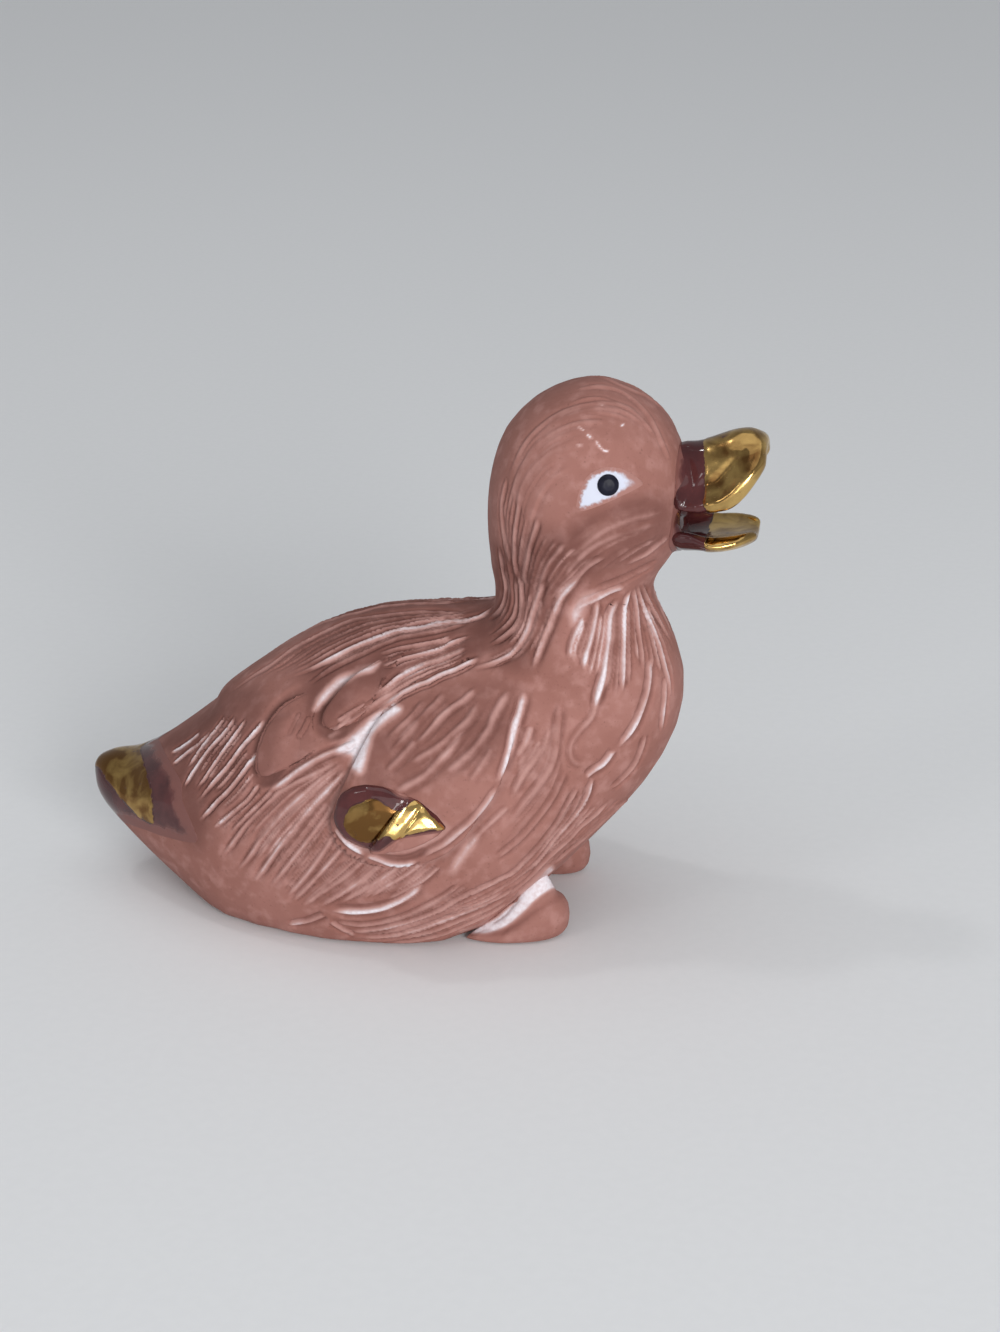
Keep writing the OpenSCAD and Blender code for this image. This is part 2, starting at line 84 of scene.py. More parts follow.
def pixels_of(points):
    """Picture pixels of some points, after folding the far side onto the near one."""
    near = points.copy()
    near[:, 1] = -np.abs(near[:, 1])
    turned = (near - np.array(EYE)) @ np.array(camera.matrix_world.to_3x3())
    x = PICTURE[0] / 2 - FOCAL_PIXELS * turned[:, 0] / turned[:, 2]
    y = PICTURE[1] / 2 + FOCAL_PIXELS * turned[:, 1] / turned[:, 2]
    return np.stack([x, y], axis=1)


# %% Lines and outlines drawn on the picture
PIXEL = 0.1


def along(points, count):
    """Evenly spaced points on a smooth line through a few given ones."""
    p = np.array([points[0], *points, points[-1]], float)
    out = []
    for t in np.linspace(0, len(points) - 1, count):
        i = min(int(t), len(points) - 2)
        f = t - i
        a, b, c, d = p[i:i + 4]
        out.append(b + f / 2 * ((c - a) + f * ((2 * a - 5 * b + 4 * c - d) + f * (3 * (b - c) + d - a))))
    return np.array(out)


def outline_field(outline):
    """Signed distance in mm from a closed outline in the picture, positive inside."""
    loop = along([*outline, outline[0]], 12 * len(outline))
    start, step = loop[:-1], np.diff(loop, axis=0)

    def field(points):
        seen = pixels_of(points)
        away = np.full(len(seen), 1e9)
        inside = np.zeros(len(seen), bool)
        for (x, y), (dx, dy) in zip(start, step):
            rx, ry = seen[:, 0] - x, seen[:, 1] - y
            t = np.clip((rx * dx + ry * dy) / (dx * dx + dy * dy + 1e-9), 0, 1)
            away = np.minimum(away, np.hypot(rx - t * dx, ry - t * dy))
            crosses = (y > seen[:, 1]) != (y + dy > seen[:, 1])
            inside ^= crosses & (rx < ry / (dy if dy else 1e-9) * dx)
        return np.where(inside, away, -away) * PIXEL

    return field


def beside(pixels, a, b):
    """Distance in pixels to the right of a line that runs down the picture from a to b."""
    run = np.subtract(b, a) / np.linalg.norm(np.subtract(b, a))
    return (pixels - np.array(a)) @ np.array([run[1], -run[0]])


# %% [markdown]
# ## From measured solids to soft clay
# The solids have flat facets and knife edges, and fired clay has neither. A subdivision surface would keep
# their uneven rings. A voxel remesh gives an even skin instead, like clay patted over the form, and a
# smooth modifier then wipes the facets away. Copies are welded first, because a solid's triangles are
# loose.


# %% Copying, remeshing and smoothing
def pick(piece):
    """Select one piece alone and make it active."""
    if bpy.context.mode != "OBJECT":
        bpy.ops.object.mode_set(mode="OBJECT")
    bpy.ops.object.select_all(action="DESELECT")
    piece.select_set(True)
    bpy.context.view_layer.objects.active = piece


def placed(name, mesh):
    """New object for a mesh, in the scene and without finishes."""
    mesh.materials.clear()
    piece = bpy.data.objects.new(name, mesh)
    bpy.context.scene.collection.objects.link(piece)
    return piece


def welded_copy(name, *nodes, weld=0.01 * MM):
    """One new object from copies of some solids, with points closer than `weld` merged."""
    copies = [placed(name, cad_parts[node].data.copy()) for node in nodes]
    pick(copies[0])
    for copy in copies[1:]:
        copy.select_set(True)
    if len(copies) > 1:
        bpy.ops.object.join()
    bpy.ops.object.mode_set(mode="EDIT")
    bpy.ops.mesh.select_all(action="SELECT")
    bpy.ops.mesh.remove_doubles(threshold=weld)
    bpy.ops.object.mode_set(mode="OBJECT")
    return copies[0]


def applied(piece, kind, **settings):
    """Add a modifier, set it and apply it."""
    pick(piece)
    bpy.ops.object.modifier_add(type=kind)
    modifier = piece.modifiers[-1]
    for key, value in settings.items():
        setattr(modifier, key, value)
    bpy.ops.object.modifier_apply(modifier=modifier.name)
    return piece


def patted(piece, grain, strokes):
    """Even clay skin of one grain size, smoothed by a number of strokes."""
    pick(piece)
    piece.data.remesh_voxel_size = grain
    bpy.ops.object.voxel_remesh()
    return applied(piece, "SMOOTH", factor=0.5, iterations=strokes)


def numbers_of(piece, key):
    """Places or normals of all points of a piece as an array."""
    flat = np.empty(len(piece.data.vertices) * 3, np.float32)
    piece.data.vertices.foreach_get(key, flat)
    return flat.reshape(-1, 3).astype(float)


def points_of(piece):
    return numbers_of(piece, "co")


def normals_of(piece):
    return numbers_of(piece, "normal")


def set_points(piece, points):
    piece.data.vertices.foreach_set("co", points.astype(np.float32).ravel())
    piece.data.update()


def surface_of(piece):
    """Search tree over a piece's faces."""
    return BVHTree.FromObject(piece, bpy.context.evaluated_depsgraph_get())


def eased(t):
    """Smooth step from 0 to 1."""
    t = np.clip(t, 0, 1)
    return t * t * (3 - 2 * t)


# %% [markdown]
# ## Trunk and head
# On the real bird no seam shows between neck and head: the potter smoothed it away. So both solids are
# joined at the throat and remeshed as one skin, and only then cut apart again on the throat's own plane.

# %% Trunk and head as one skin
GRAIN = 0.22 * MM
SEAM_WELD = 0.1 * MM

skin = welded_copy("skin", "body", "head", weld=SEAM_WELD)
nape_edge = max(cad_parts["body"].data.vertices, key=lambda v: v.co.z).co.copy()
throat_edge = min(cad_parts["head"].data.vertices, key=lambda v: v.co.z).co.copy()
slope = Vector((throat_edge.x - nape_edge.x, 0, throat_edge.z - nape_edge.z))
throat_plane = Vector((-slope.z, 0, slope.x)).normalized()


def over_throat(place):
    """Distance of a place above the throat's plane."""
    return (place - nape_edge).dot(throat_plane)


bpy.ops.object.mode_set(mode="EDIT")
bpy.ops.mesh.select_mode(type="FACE")
bpy.ops.mesh.select_all(action="DESELECT")
bpy.ops.object.mode_set(mode="OBJECT")
for face in skin.data.polygons:
    on_seam = abs(over_throat(face.center)) < SEAM_WELD
    face.select = on_seam and abs(face.normal.dot(throat_plane)) > 0.95
bpy.ops.object.mode_set(mode="EDIT")
bpy.ops.mesh.delete(type="FACE")
bpy.ops.object.mode_set(mode="OBJECT")
patted(skin, GRAIN, 30)
print("skin faces:", len(skin.data.polygons))

# %% [markdown]
# The middle of the back ends over the tail in a low lip, like a short cape of feathers. A lip that narrow
# has no solid of its own, so points are moved: up in front of its edge, down behind it, less to the sides.

# %% Lip of the back
LIP_X = -19.4
LIP_RISE, LIP_FALL = 0.45, 0.5
LIP_REACH, LIP_SPREAD, LIP_EDGE, LIP_BEND = 3, 6, 0.4, 0.06

points = points_of(skin)
ahead = points[:, 0] / MM - LIP_X - LIP_BEND * (points[:, 1] / MM) ** 2
over = np.where(ahead > 0, LIP_RISE, LIP_FALL) * np.tanh(ahead / LIP_EDGE)
over *= np.exp(-np.abs(ahead) / LIP_REACH)
over *= np.exp(-(points[:, 1] / MM / LIP_SPREAD) ** 2) * eased(normals_of(skin)[:, 2] * 2)
points[:, 2] += over * MM
points[:, 2] = np.maximum(points[:, 2], 0)
set_points(skin, points)
print("lip of the back:", round(over.max(), 2), "mm up")

# %% [markdown]
# ## Parts laid on the skin
# Wings, feathers, wing tips and feet are separate lumps of clay, luted on with slip. Each is a remeshed copy
# of its solid. A folded feather lies flush where it starts and stands proud where it ends, so a lump's
# height fades in along a direction. Luting then draws the points next to the ground a little into it, so
# that the seam closes. Both are point moves, because no modifier measures the height over another piece.


# %% Fading and luting
FADE_START, FADE_LENGTH = 0.08, 0.62


def share_along(points, direction):
    """From 0 to 1 along a direction, over the middle of some points' own extent."""
    s = points @ np.array(direction)
    low, high = s.min(), s.max()
    return eased(((s - low) / (high - low) - FADE_START) / FADE_LENGTH)


def resettled(piece, ground, new_height):
    """Move each point of a lump along the ground's normal, from its height to a new one."""
    points = points_of(piece)
    for i, point in enumerate(points):
        spot, normal, _, _ = ground.find_nearest(Vector(point))
        height = (Vector(point) - spot).dot(normal)
        points[i] += np.array(normal) * (new_height(i, height) - height)
    set_points(piece, points)
    return piece


def laid(piece, ground, reach, sink, direction=None, least=1.0, most=1.0):
    """Scale a lump's height over the ground along a direction, then draw its foot into the ground."""
    points = points_of(piece)
    scale = np.ones(len(points))
    if direction:
        scale = least + (most - least) * share_along(points, direction)

    def luted(i, height):
        low = height * scale[i]
        if low < reach:
            low -= float(eased(1 - low / reach)) * (max(low, 0) + sink)
        return low

    return resettled(piece, ground, luted)


def shingled(piece, ground, sink, direction, most):
    """Let a lump rise from just under the ground to its full height along a direction."""
    scale = most * share_along(points_of(piece), direction) ** 2
    return resettled(piece, ground, lambda i, height: height * (scale[i] if height > 0 else 1) - sink)


# %% [markdown]
# A wing tip shows two feather ends. The front one is folded over the rear one along a sharp ridge and has
# a second, lower fold, which is what makes its gold flash while the rear one stays dark. Its gold is also
# painted bright on the front end and dark on the rear one, a painted highlight and shade.


# %% Folding a wing tip
TIP_FOLD = ((405, 803), (379, 838))
SECOND_FOLD = ((421, 808), (398, 840))
TIP_TILT = 0.14
RIDGE_RISE, RIDGE_FADE = 0.9, 26
FOLD_SINK, FOLD_FADE = 0.2, 5
SECOND_SINK, SECOND_WIDTH = 0.22, 2.5


def folded(tip):
    """Raise the front feather end of a wing tip along its ridge and press in the folds."""
    points = points_of(tip)
    outward = np.sign(points[:, 1])
    front = beside(pixels_of(points), *TIP_FOLD)
    second = beside(pixels_of(points), *SECOND_FOLD)
    down = (pixels_of(points)[:, 1] - TIP_FOLD[0][1]) / (TIP_FOLD[1][1] - TIP_FOLD[0][1])
    ridge = (0.1 + 0.9 * np.clip(down, 0, 1)) * np.exp(-np.abs(front) / RIDGE_FADE)
    relief = np.where(front > 0, RIDGE_RISE * ridge, -FOLD_SINK * np.exp(-np.abs(front) / FOLD_FADE))
    relief = relief - SECOND_SINK * np.exp(-(second / SECOND_WIDTH) ** 2)
    middle = (points[:, 2].min() + points[:, 2].max()) / 2
    relief = relief + TIP_TILT * eased(front / 4) * (middle - points[:, 2]) / MM
    open_side = eased((normals_of(tip)[:, 1] * outward - 0.25) / 0.5)
    points[:, 1] += outward * relief * open_side * MM
    set_points(tip, points)
    applied(tip, "SMOOTH", factor=0.5, iterations=2)


# %% [markdown]
# Behind the wing two feathers overlap like shingles: each stands proud along its rear edge and blends into
# the back on its other side. So they are shifted to the line of that edge and rise backwards from just
# under the skin.

# %% Wings, feathers and feet
SIDES = ("left", "right")
FINE_GRAIN = 0.18 * MM
FEATHER_SHIFT = (0.8 * MM, 0, -0.2 * MM)
TIP_GRAIN = 0.13 * MM
DOWN = (-0.2, 0, -0.98)
BACKWARD = (-0.97, 0, 0.1)
ground = surface_of(skin)
lumps = {}
for side in SIDES:
    wing = patted(welded_copy(f"{side}_wing_lobe", f"{side}_wing"), FINE_GRAIN, 12)
    lumps[f"{side}_wing"] = laid(wing, ground, 0.7 * MM, 0.5 * MM, DOWN, 0.25, 1.25)
    for place in ("front", "rear"):
        node = f"{side}_{place}_feather"
        feather = patted(welded_copy(f"{node}_lobe", node), FINE_GRAIN, 8)
        set_points(feather, points_of(feather) + np.array(FEATHER_SHIFT))
        lumps[node] = shingled(feather, ground, 0.06 * MM, BACKWARD, 1.7)
    foot = patted(welded_copy(f"{side}_foot_pad", f"{side}_foot"), FINE_GRAIN, 8)
    lumps[f"{side}_foot"] = laid(foot, ground, 0.5 * MM, 0.2 * MM)
    tip = patted(welded_copy(f"{side}_wing_tip_boss", f"{side}_wing_tip"), TIP_GRAIN, 8)
    lumps[f"{side}_wing_tip"] = laid(tip, surface_of(wing), 0.3 * MM, 0.15 * MM)
    folded(tip)
for node, lump in lumps.items():
    print(node, len(lump.data.polygons), "faces")

# %% [markdown]
# ## The carved feather lines
# The maker drew every line with a tool, in combed groups that follow the feathers. The lines are drawn here
# the same way, on the picture: a group has a few guide lines, thinner lines between them are worked out with
# a little unsteadiness, and each is dropped on the clay along the camera's rays. The far side gets the mirror
# image. A washed line is a ridge between two grooves, because the tool pushed clay up on both sides and the
# rag left white on top; a bare line is a plain groove. Two attributes remember how deep the tool went and
# how much wash stayed. The wing tips stay uncarved.

# %% Carved lines in picture pixels
# Each group: thin lines to add in each gap, then lines as half width and depth in mm, white wash, points
CARVING = {
    "breast": (2, [
        (0.32, 0.4, 0.9, [(584, 618), (578, 630), (572, 644), (570, 659)]),
        (0.32, 0.4, 0.95, [(598, 601), (596, 618), (591, 640), (586, 656), (584, 671)]),
        (0.38, 0.5, 1, [(620, 598), (612, 615), (610, 637), (607, 656), (604, 676), (598, 697),
                        (592, 717)]),
        (0.3, 0.45, 1, [(631, 589), (627, 608), (626, 632), (625, 656), (624, 678), (622, 695)]),
        (0.26, 0.4, 0.6, [(634, 587), (638, 608), (640, 632), (643, 652), (644, 669)]),
        (0.28, 0.45, 0.8, [(637, 584), (646, 608), (656, 632), (662, 649), (667, 669), (670, 681),
                           (672, 705)]),
        (0.26, 0.4, 0.7, [(642, 584), (654, 608), (666, 630), (673, 645), (679, 668)])]),
    "breast fold": (0, [
        (0.3, 0.22, 0.35, [(597, 700), (592, 717), (579, 732), (571, 745), (571, 757), (578, 764),
                           (590, 763)]),
        (0.36, 0.45, 0.8, [(652, 656), (651, 673), (649, 690), (644, 707), (637, 724), (629, 736),
                           (615, 750)]),
        (0.36, 0.35, 0.85, [(615, 750), (605, 764), (593, 772), (586, 778)]),
        (0.3, 0.4, 0.7, [(666, 676), (666, 695), (664, 714), (662, 731)]),
        (0.3, 0.4, 0.4, [(646, 734), (642, 750), (634, 767), (620, 782), (610, 789)]),
        (0.3, 0.35, 0.3, [(678, 695), (680, 714), (673, 734), (663, 753), (645, 776)])]),
    "lower breast": (3, [
        (0.28, 0.4, 0.4, [(579, 787), (571, 801), (562, 818), (550, 835), (530, 858), (507, 878),
                          (472, 892)]),
        (0.28, 0.45, 0.7, [(593, 777), (590, 792), (584, 806), (574, 820), (555, 842), (535, 866),
                           (491, 897)]),
        (0.28, 0.4, 0.5, [(610, 801), (596, 816), (581, 828), (570, 840), (549, 859), (528, 880),
                          (491, 911)]),
        (0.3, 0.4, 0.3, [(634, 794), (615, 811), (590, 834), (570, 850), (553, 866)])]),
    "neck": (3, [
        (0.3, 0.4, 0.4, [(498, 545), (502, 570), (505, 590), (500, 608), (486, 620)]),
        (0.3, 0.4, 0.5, [(516, 574), (520, 589), (520, 608), (516, 623), (504, 635), (488, 645)]),
        (0.32, 0.4, 0.6, [(545, 579), (538, 594), (532, 611), (525, 632), (513, 650), (497, 660),
                          (469, 669)]),
        (0.3, 0.4, 0.4, [(552, 608), (547, 623), (540, 640), (535, 657)]),
        (0.34, 0.4, 0.7, [(584, 572), (569, 589), (559, 601), (553, 616), (548, 628), (537, 655),
                          (532, 672)])]),
    "shoulder": (4, [
        (0.36, 0.3, 0.5, [(531, 726), (526, 742), (517, 757)]),
        (0.34, 0.3, 0.35, [(544, 744), (533, 762), (524, 774), (510, 800)]),
        (0.36, 0.3, 0.3, [(560, 700), (557, 734), (552, 764), (534, 792), (500, 834)]),
        (0.34, 0.3, 0.25, [(566, 770), (552, 800), (524, 836), (492, 862)])]),
    "spine": (4, [
        (0.3, 0.35, 0.4, [(465, 610), (453, 612), (430, 611), (400, 613), (369, 617), (345, 622),
                          (298, 645), (273, 663), (249, 678), (222, 698)]),
        (0.32, 0.4, 0.76, [(497, 603), (487, 611), (478, 616), (463, 619), (440, 621), (418, 626),
                           (393, 630), (355, 645), (333, 656), (310, 668), (287, 677)]),
        (0.28, 0.35, 0.32, [(468, 622), (449, 627), (424, 632), (397, 637), (362, 652), (330, 668),
                            (300, 690)])]),
    "back": (2, [
        (0.26, 0.38, 0.48, [(450, 636), (438, 640), (418, 644), (397, 648), (377, 654)]),
        (0.28, 0.42, 0.68, [(471, 635), (453, 641), (440, 647), (424, 652), (405, 657), (393, 662),
                            (379, 666)]),
        (0.3, 0.45, 0.76, [(467, 647), (456, 651), (440, 658), (424, 663), (408, 670), (397, 677),
                           (385, 687), (372, 696)]),
        (0.36, 0.5, 0.8, [(481, 657), (468, 662), (456, 668), (440, 674), (427, 681), (418, 684),
                          (400, 693), (385, 703), (369, 711)])]),
    "wing": (0, [
        (0.36, 0.18, 0.27, [(424, 700), (410, 718), (397, 730), (386, 741)]),
        (0.34, 0.18, 0.27, [(445, 692), (434, 704), (421, 716), (408, 729), (396, 742)]),
        (0.34, 0.2, 0.41, [(478, 686), (464, 699), (452, 707), (440, 717), (426, 734), (414, 746)]),
        (0.4, 0.21, 0.36, [(481, 700), (469, 718), (460, 727), (441, 744), (421, 757), (408, 765)]),
        (0.42, 0.22, 0.41, [(510, 688), (497, 710), (488, 729), (476, 746), (460, 762), (440, 776)]),
        (0.42, 0.22, 0.45, [(466, 727), (449, 750), (438, 762), (425, 775), (406, 787), (390, 794)]),
        (0.4, 0.2, 0.32, [(416, 740), (401, 757), (386, 772)]),
        (0.34, 0.17, 0.27, [(492, 748), (479, 769), (469, 782)]),
        (0.3, 0.15, 0.23, [(430, 708), (418, 722), (404, 738), (390, 752)])]),
    "tail root": (1, [
        (0.26, 0.3, 1, [(200, 732), (190, 740), (180, 747), (171, 752)]),
        (0.22, 0.3, 0.9, [(203, 738), (190, 749), (180, 757), (172, 764)]),
        (0.22, 0.45, 0.8, [(225, 716), (215, 729), (200, 748), (187, 768)]),
        (0.22, 0.45, 0.85, [(235, 716), (224, 731), (207, 750), (191, 773), (183, 788)]),
        (0.22, 0.45, 0.8, [(246, 718), (235, 733), (221, 752), (207, 773), (195, 790)]),
        (0.24, 0.5, 0.9, [(264, 718), (252, 733), (240, 747), (226, 766), (212, 782), (196, 803)]),
        (0.24, 0.5, 0.9, [(256, 750), (242, 771), (228, 789), (214, 803), (198, 822)]),
        (0.22, 0.4, 0.75, [(258, 783), (247, 799), (231, 813), (212, 829)]),
        (0.22, 0.4, 0.6, [(272, 790), (259, 803), (245, 817), (228, 835)])]),
    "flank": (3, [
        (0.26, 0.35, 0.5, [(345, 758), (312, 775), (282, 790), (262, 808), (246, 824), (230, 846),
                           (222, 856)]),
        (0.28, 0.4, 0.6, [(348, 760), (322, 778), (301, 796), (282, 814), (263, 836), (248, 858),
                          (236, 872)]),
        (0.28, 0.45, 0.8, [(348, 768), (329, 788), (310, 808), (294, 828), (279, 846), (264, 868),
                           (252, 884)]),
        (0.26, 0.35, 0.5, [(336, 800), (326, 816), (314, 832), (300, 850), (284, 870), (266, 892)]),
        (0.26, 0.35, 0.5, [(336, 832), (327, 846), (316, 862), (302, 880), (284, 900)])]),
    "lower flank": (3, [
        (0.26, 0.35, 0.5, [(344, 846), (330, 862), (312, 882), (290, 904)]),
        (0.26, 0.35, 0.5, [(366, 858), (346, 876), (326, 890), (300, 908)]),
        (0.26, 0.35, 0.55, [(382, 864), (362, 880), (342, 894), (316, 909)]),
        (0.26, 0.35, 0.5, [(400, 866), (382, 879), (364, 890), (340, 903)]),
        (0.26, 0.35, 0.55, [(424, 862), (405, 876), (388, 886), (368, 898)]),
        (0.26, 0.35, 0.5, [(440, 866), (424, 880), (404, 892), (384, 902)])]),
    "belly": (3, [
        (0.26, 0.35, 0.4, [(462, 884), (446, 896), (425, 908), (396, 920), (360, 926), (326, 920)]),
        (0.28, 0.4, 0.55, [(516, 872), (488, 887), (462, 899), (435, 914), (400, 926), (366, 932),
                           (334, 930)]),
        (0.28, 0.4, 0.55, [(522, 884), (494, 902), (465, 914), (439, 924), (412, 933), (380, 938),
                           (340, 937)]),
        (0.26, 0.35, 0.45, [(512, 900), (491, 914), (465, 926), (440, 936), (410, 942), (380, 943)])]),
    "nape": (3, [
        (0.3, 0.25, 0.35, [(506, 478), (501, 505), (503, 535), (508, 565)]),
        (0.3, 0.3, 0.4, [(519, 500), (514, 530), (513, 556), (517, 582)]),
        (0.3, 0.3, 0.4, [(538, 518), (529, 545), (524, 570), (521, 592)]),
        (0.3, 0.3, 0.4, [(565, 544), (549, 563), (541, 580), (536, 596)]),
        (0.32, 0.3, 0.5, [(607, 556), (588, 567), (575, 580), (562, 591), (554, 602)])]),
    "cheek": (3, [
        (0.45, 0.2, 0, [(661, 500), (628, 506), (598, 518), (579, 531), (565, 544)]),
        (0.34, 0.14, 0.28, [(664, 512), (636, 518), (606, 530), (584, 546), (566, 560)]),
        (0.34, 0.14, 0.28, [(659, 523), (636, 530), (611, 538), (588, 551), (572, 567), (562, 582)]),
        (0.3, 0.16, 0.45, [(669, 537), (654, 549), (644, 556), (622, 566)])]),
    "skull": (4, [
        (0.34, 0.1, 0.22, [(570, 468), (549, 480), (536, 500), (528, 524), (524, 545)]),
        (0.34, 0.1, 0.22, [(579, 445), (554, 452), (535, 468), (522, 490), (518, 515), (516, 548)]),
        (0.34, 0.1, 0.22, [(606, 421), (575, 424), (546, 438), (525, 462), (513, 492), (509, 528)]),
        (0.34, 0.1, 0.22, [(644, 419), (625, 406), (597, 403), (565, 411), (540, 427), (522, 448),
                           (508, 478)]),
        (0.34, 0.1, 0.22, [(671, 462), (661, 439), (648, 414), (625, 393), (600, 386), (572, 390)])]),
    "single lines": (0, [
        (0.42, 0.35, 0.95, [(525, 690), (520, 710), (514, 729), (511, 747), (505, 768), (497, 785)]),
        (0.4, 0.3, 0.6, [(500, 783), (488, 803), (472, 822), (458, 834), (444, 845), (430, 852),
                         (417, 859)]),
        (0.34, 0.4, 0.7, [(357, 742), (343, 747), (320, 757), (301, 768), (282, 782), (268, 792)]),
        (0.3, 0.3, 0.4, [(352, 716), (338, 728), (326, 738)]),
        (0.3, 0.3, 0.4, [(368, 703), (352, 712), (336, 722)]),
        (0.34, 0.35, 0, [(414, 888), (400, 897), (386, 903), (365, 907), (343, 907), (326, 906)]),
        (0.34, 0.35, 1, [(423, 884), (411, 895), (398, 903), (381, 910), (363, 913), (346, 913),
                         (328, 910)]),
        (0.3, 0.35, 0.6, [(325, 915), (307, 922), (288, 925)]),
        (0.3, 0.2, 0.4, [(510, 805), (494, 820), (479, 834), (467, 850)]),
        (0.3, 0.4, 0, [(549, 864), (536, 877), (523, 890), (504, 913), (485, 925)]),
        (0.34, 0.4, 0.1, [(657, 563), (634, 575), (615, 584), (596, 591)]),
        (0.34, 0.3, 0.7, [(625, 588), (612, 592), (596, 600), (582, 606), (574, 614)]),
        (0.4, 0.3, 0.9, [(334, 828), (342, 840), (353, 849), (365, 855)]),
        (0.45, 0.5, 0, [(372, 852), (385, 858), (400, 860), (416, 856), (430, 846)]),
        (0.36, 0.2, 0.95, [(366, 856), (378, 861), (392, 866), (406, 866), (418, 861)]),
        (0.3, 0.35, 0, [(309, 716), (303, 728), (296, 739)]),
        (0.3, 0.35, 0, [(299, 711), (293, 723), (287, 736)]),
        (0.3, 0.3, 0.4, [(393, 690), (375, 703), (358, 715), (342, 730)]),
        (0.3, 0.3, 0.4, [(403, 693), (384, 708), (366, 720)]),
        (0.3, 0.25, 0.5, [(330, 922), (342, 930), (355, 936)])]),
    "crown scuffs": (0, [
        (0.14, 0.06, 1, [(579, 427), (584, 431)]),
        (0.14, 0.06, 1, [(587, 434), (592, 439)]),
        (0.14, 0.06, 1, [(595, 440), (600, 447), (605, 451), (610, 450)]),
        (0.14, 0.06, 1, [(621, 426), (625, 423)]),
        (0.14, 0.06, 0.8, [(600, 404), (603, 406)]),
        (0.14, 0.06, 0.8, [(577, 445), (582, 446)])]),
}


# %% Thin lines between the traced ones
THIN_WASH = (0.4, 0.55, 0.7, 0.85)
SAMPLES = 28


def combed(lines, extra):
    """The traced lines of a group and thin, unsteady ones between them."""
    yield from lines
    for first, second in zip(lines, lines[1:]):
        for k in range(extra):
            t = (k + 1) / (extra + 1) + random.uniform(-0.3, 0.3) / (extra + 1)
            line = (1 - t) * along(first[3], SAMPLES) + t * along(second[3], SAMPLES)
            thin = random.uniform(0.55, 0.75)
            half_width, deep, white = [(1 - t) * a + t * b for a, b in zip(first[:3], second[:3])]
            start, end = random.randrange(0, 6), random.randrange(0, 8)
            yield half_width * thin, deep * thin, white * random.choice(THIN_WASH), line[start:SAMPLES - end]


# %% Which way the clay looks
def facing(piece):
    """From 0 to 1, how much each point's surface looks towards the camera, on both sides of the bird."""
    points, normals = points_of(piece), normals_of(piece)
    points[:, 1] = -np.abs(points[:, 1])
    normals[:, 1] = -np.abs(normals[:, 1])
    view = np.array(EYE) - points
    return eased((normals * view).sum(1) / np.linalg.norm(view, axis=1) * 3)


# %% Dropping lines on the clay
LINE_STEP = 1.2
carved = {"skin": skin, **{n: lumps[n] for n in lumps if "wing_tip" not in n}}
trees = {name: surface_of(piece) for name, piece in carved.items()}
clouds = {}
for name, piece in carved.items():
    clouds[name] = KDTree(len(piece.data.vertices))
    for i, vertex in enumerate(piece.data.vertices):
        clouds[name].insert(vertex.co, i)
    clouds[name].balance()
depth, wash, ridge, painted_shade = [{name: np.zeros(len(piece.data.vertices)) for name, piece in carved.items()}
                             for _ in range(4)]
RIDGE = 0.16
LINE_REACH = 2.8


def dropped(pixel):
    """Nearest point of the clay on the ray through a pixel."""
    ray = ray_through(pixel)
    best = None
    for tree in trees.values():
        spot, _, _, distance = tree.ray_cast(EYE, ray)
        if spot is not None and (best is None or distance < best[0]):
            best = (distance, spot)
    return best[1] if best else None


def carve(line, half_width, deep, white):
    """Draw a line on both sides of the bird: a light ridge between grooves, or a groove if it has no wash."""
    length = np.linalg.norm(np.diff(line, axis=0), axis=1).sum()
    count = max(6, int(length / LINE_STEP))
    wave, waves = random.uniform(0, 6.3), random.uniform(3, 9)
    near = {}
    for k, pixel in enumerate(along(line, count)):
        spot = dropped(pixel)
        if spot is None:
            continue
        for place in (spot, Vector((spot.x, -spot.y, spot.z))):
            for name, cloud in clouds.items():
                for _, i, distance in cloud.find_range(place, LINE_REACH * half_width * MM):
                    if distance < near.get((name, i), (1, 0))[0]:
                        near[name, i] = (distance, (k + 0.5) / count)
    for (name, i), (distance, part) in near.items():
        fade = float(eased(min(part / 0.14, (1 - part) / 0.2)))
        d = distance / (half_width * MM * (0.6 + 0.4 * fade))
        crest = math.exp(-d * d) * fade
        valley = math.exp(-((d - 1.3) / 0.6) ** 2) * fade
        stain = white * (0.85 + 0.15 * math.sin(wave + waves * part)) * crest
        depth[name][i] = max(depth[name][i], deep * (valley if white else crest))
        wash[name][i] = max(wash[name][i], stain)
        ridge[name][i] = max(ridge[name][i], RIDGE * (1 - 0.8 * white) * crest if white else 0)


lines_cut = 0
for extra, lines in CARVING.values():
    for half_width, deep, white, line in combed(lines, extra):
        carve(np.array(line, float), half_width, deep, white)
        lines_cut += 1
print("lines cut on each side:", lines_cut)

# %% [markdown]
# Lines that meet their mirror image would cross in the middle of the breast, so they fade out there.

# %% Calm middle of the breast
CALM_X, CALM_TOP, CALM_EDGE = 8 * MM, 31 * MM, 4 * MM
CALM_HALF, CALM_SIDE = 1.5 * MM, 2.5 * MM

points = points_of(skin)
in_front = eased((points[:, 0] - CALM_X) / CALM_EDGE) * eased((CALM_TOP - points[:, 2]) / CALM_EDGE)
calm = 1 - in_front * (1 - eased((np.abs(points[:, 1]) - CALM_HALF) / CALM_SIDE))
for marks in (depth, wash, ridge):
    marks["skin"] *= calm
print("points calmed:", int((calm < 1).sum()))

# %% [markdown]
# ## Creases
# Where a lump meets the skin the tool ran along it, and wash gathered there, most of all over the feet and
# under the wing tips. So the skin is pressed in beside each lump, and the wash is noted. A feather's crease
# grows late, near its rear edge, because the rest of it lies flush.

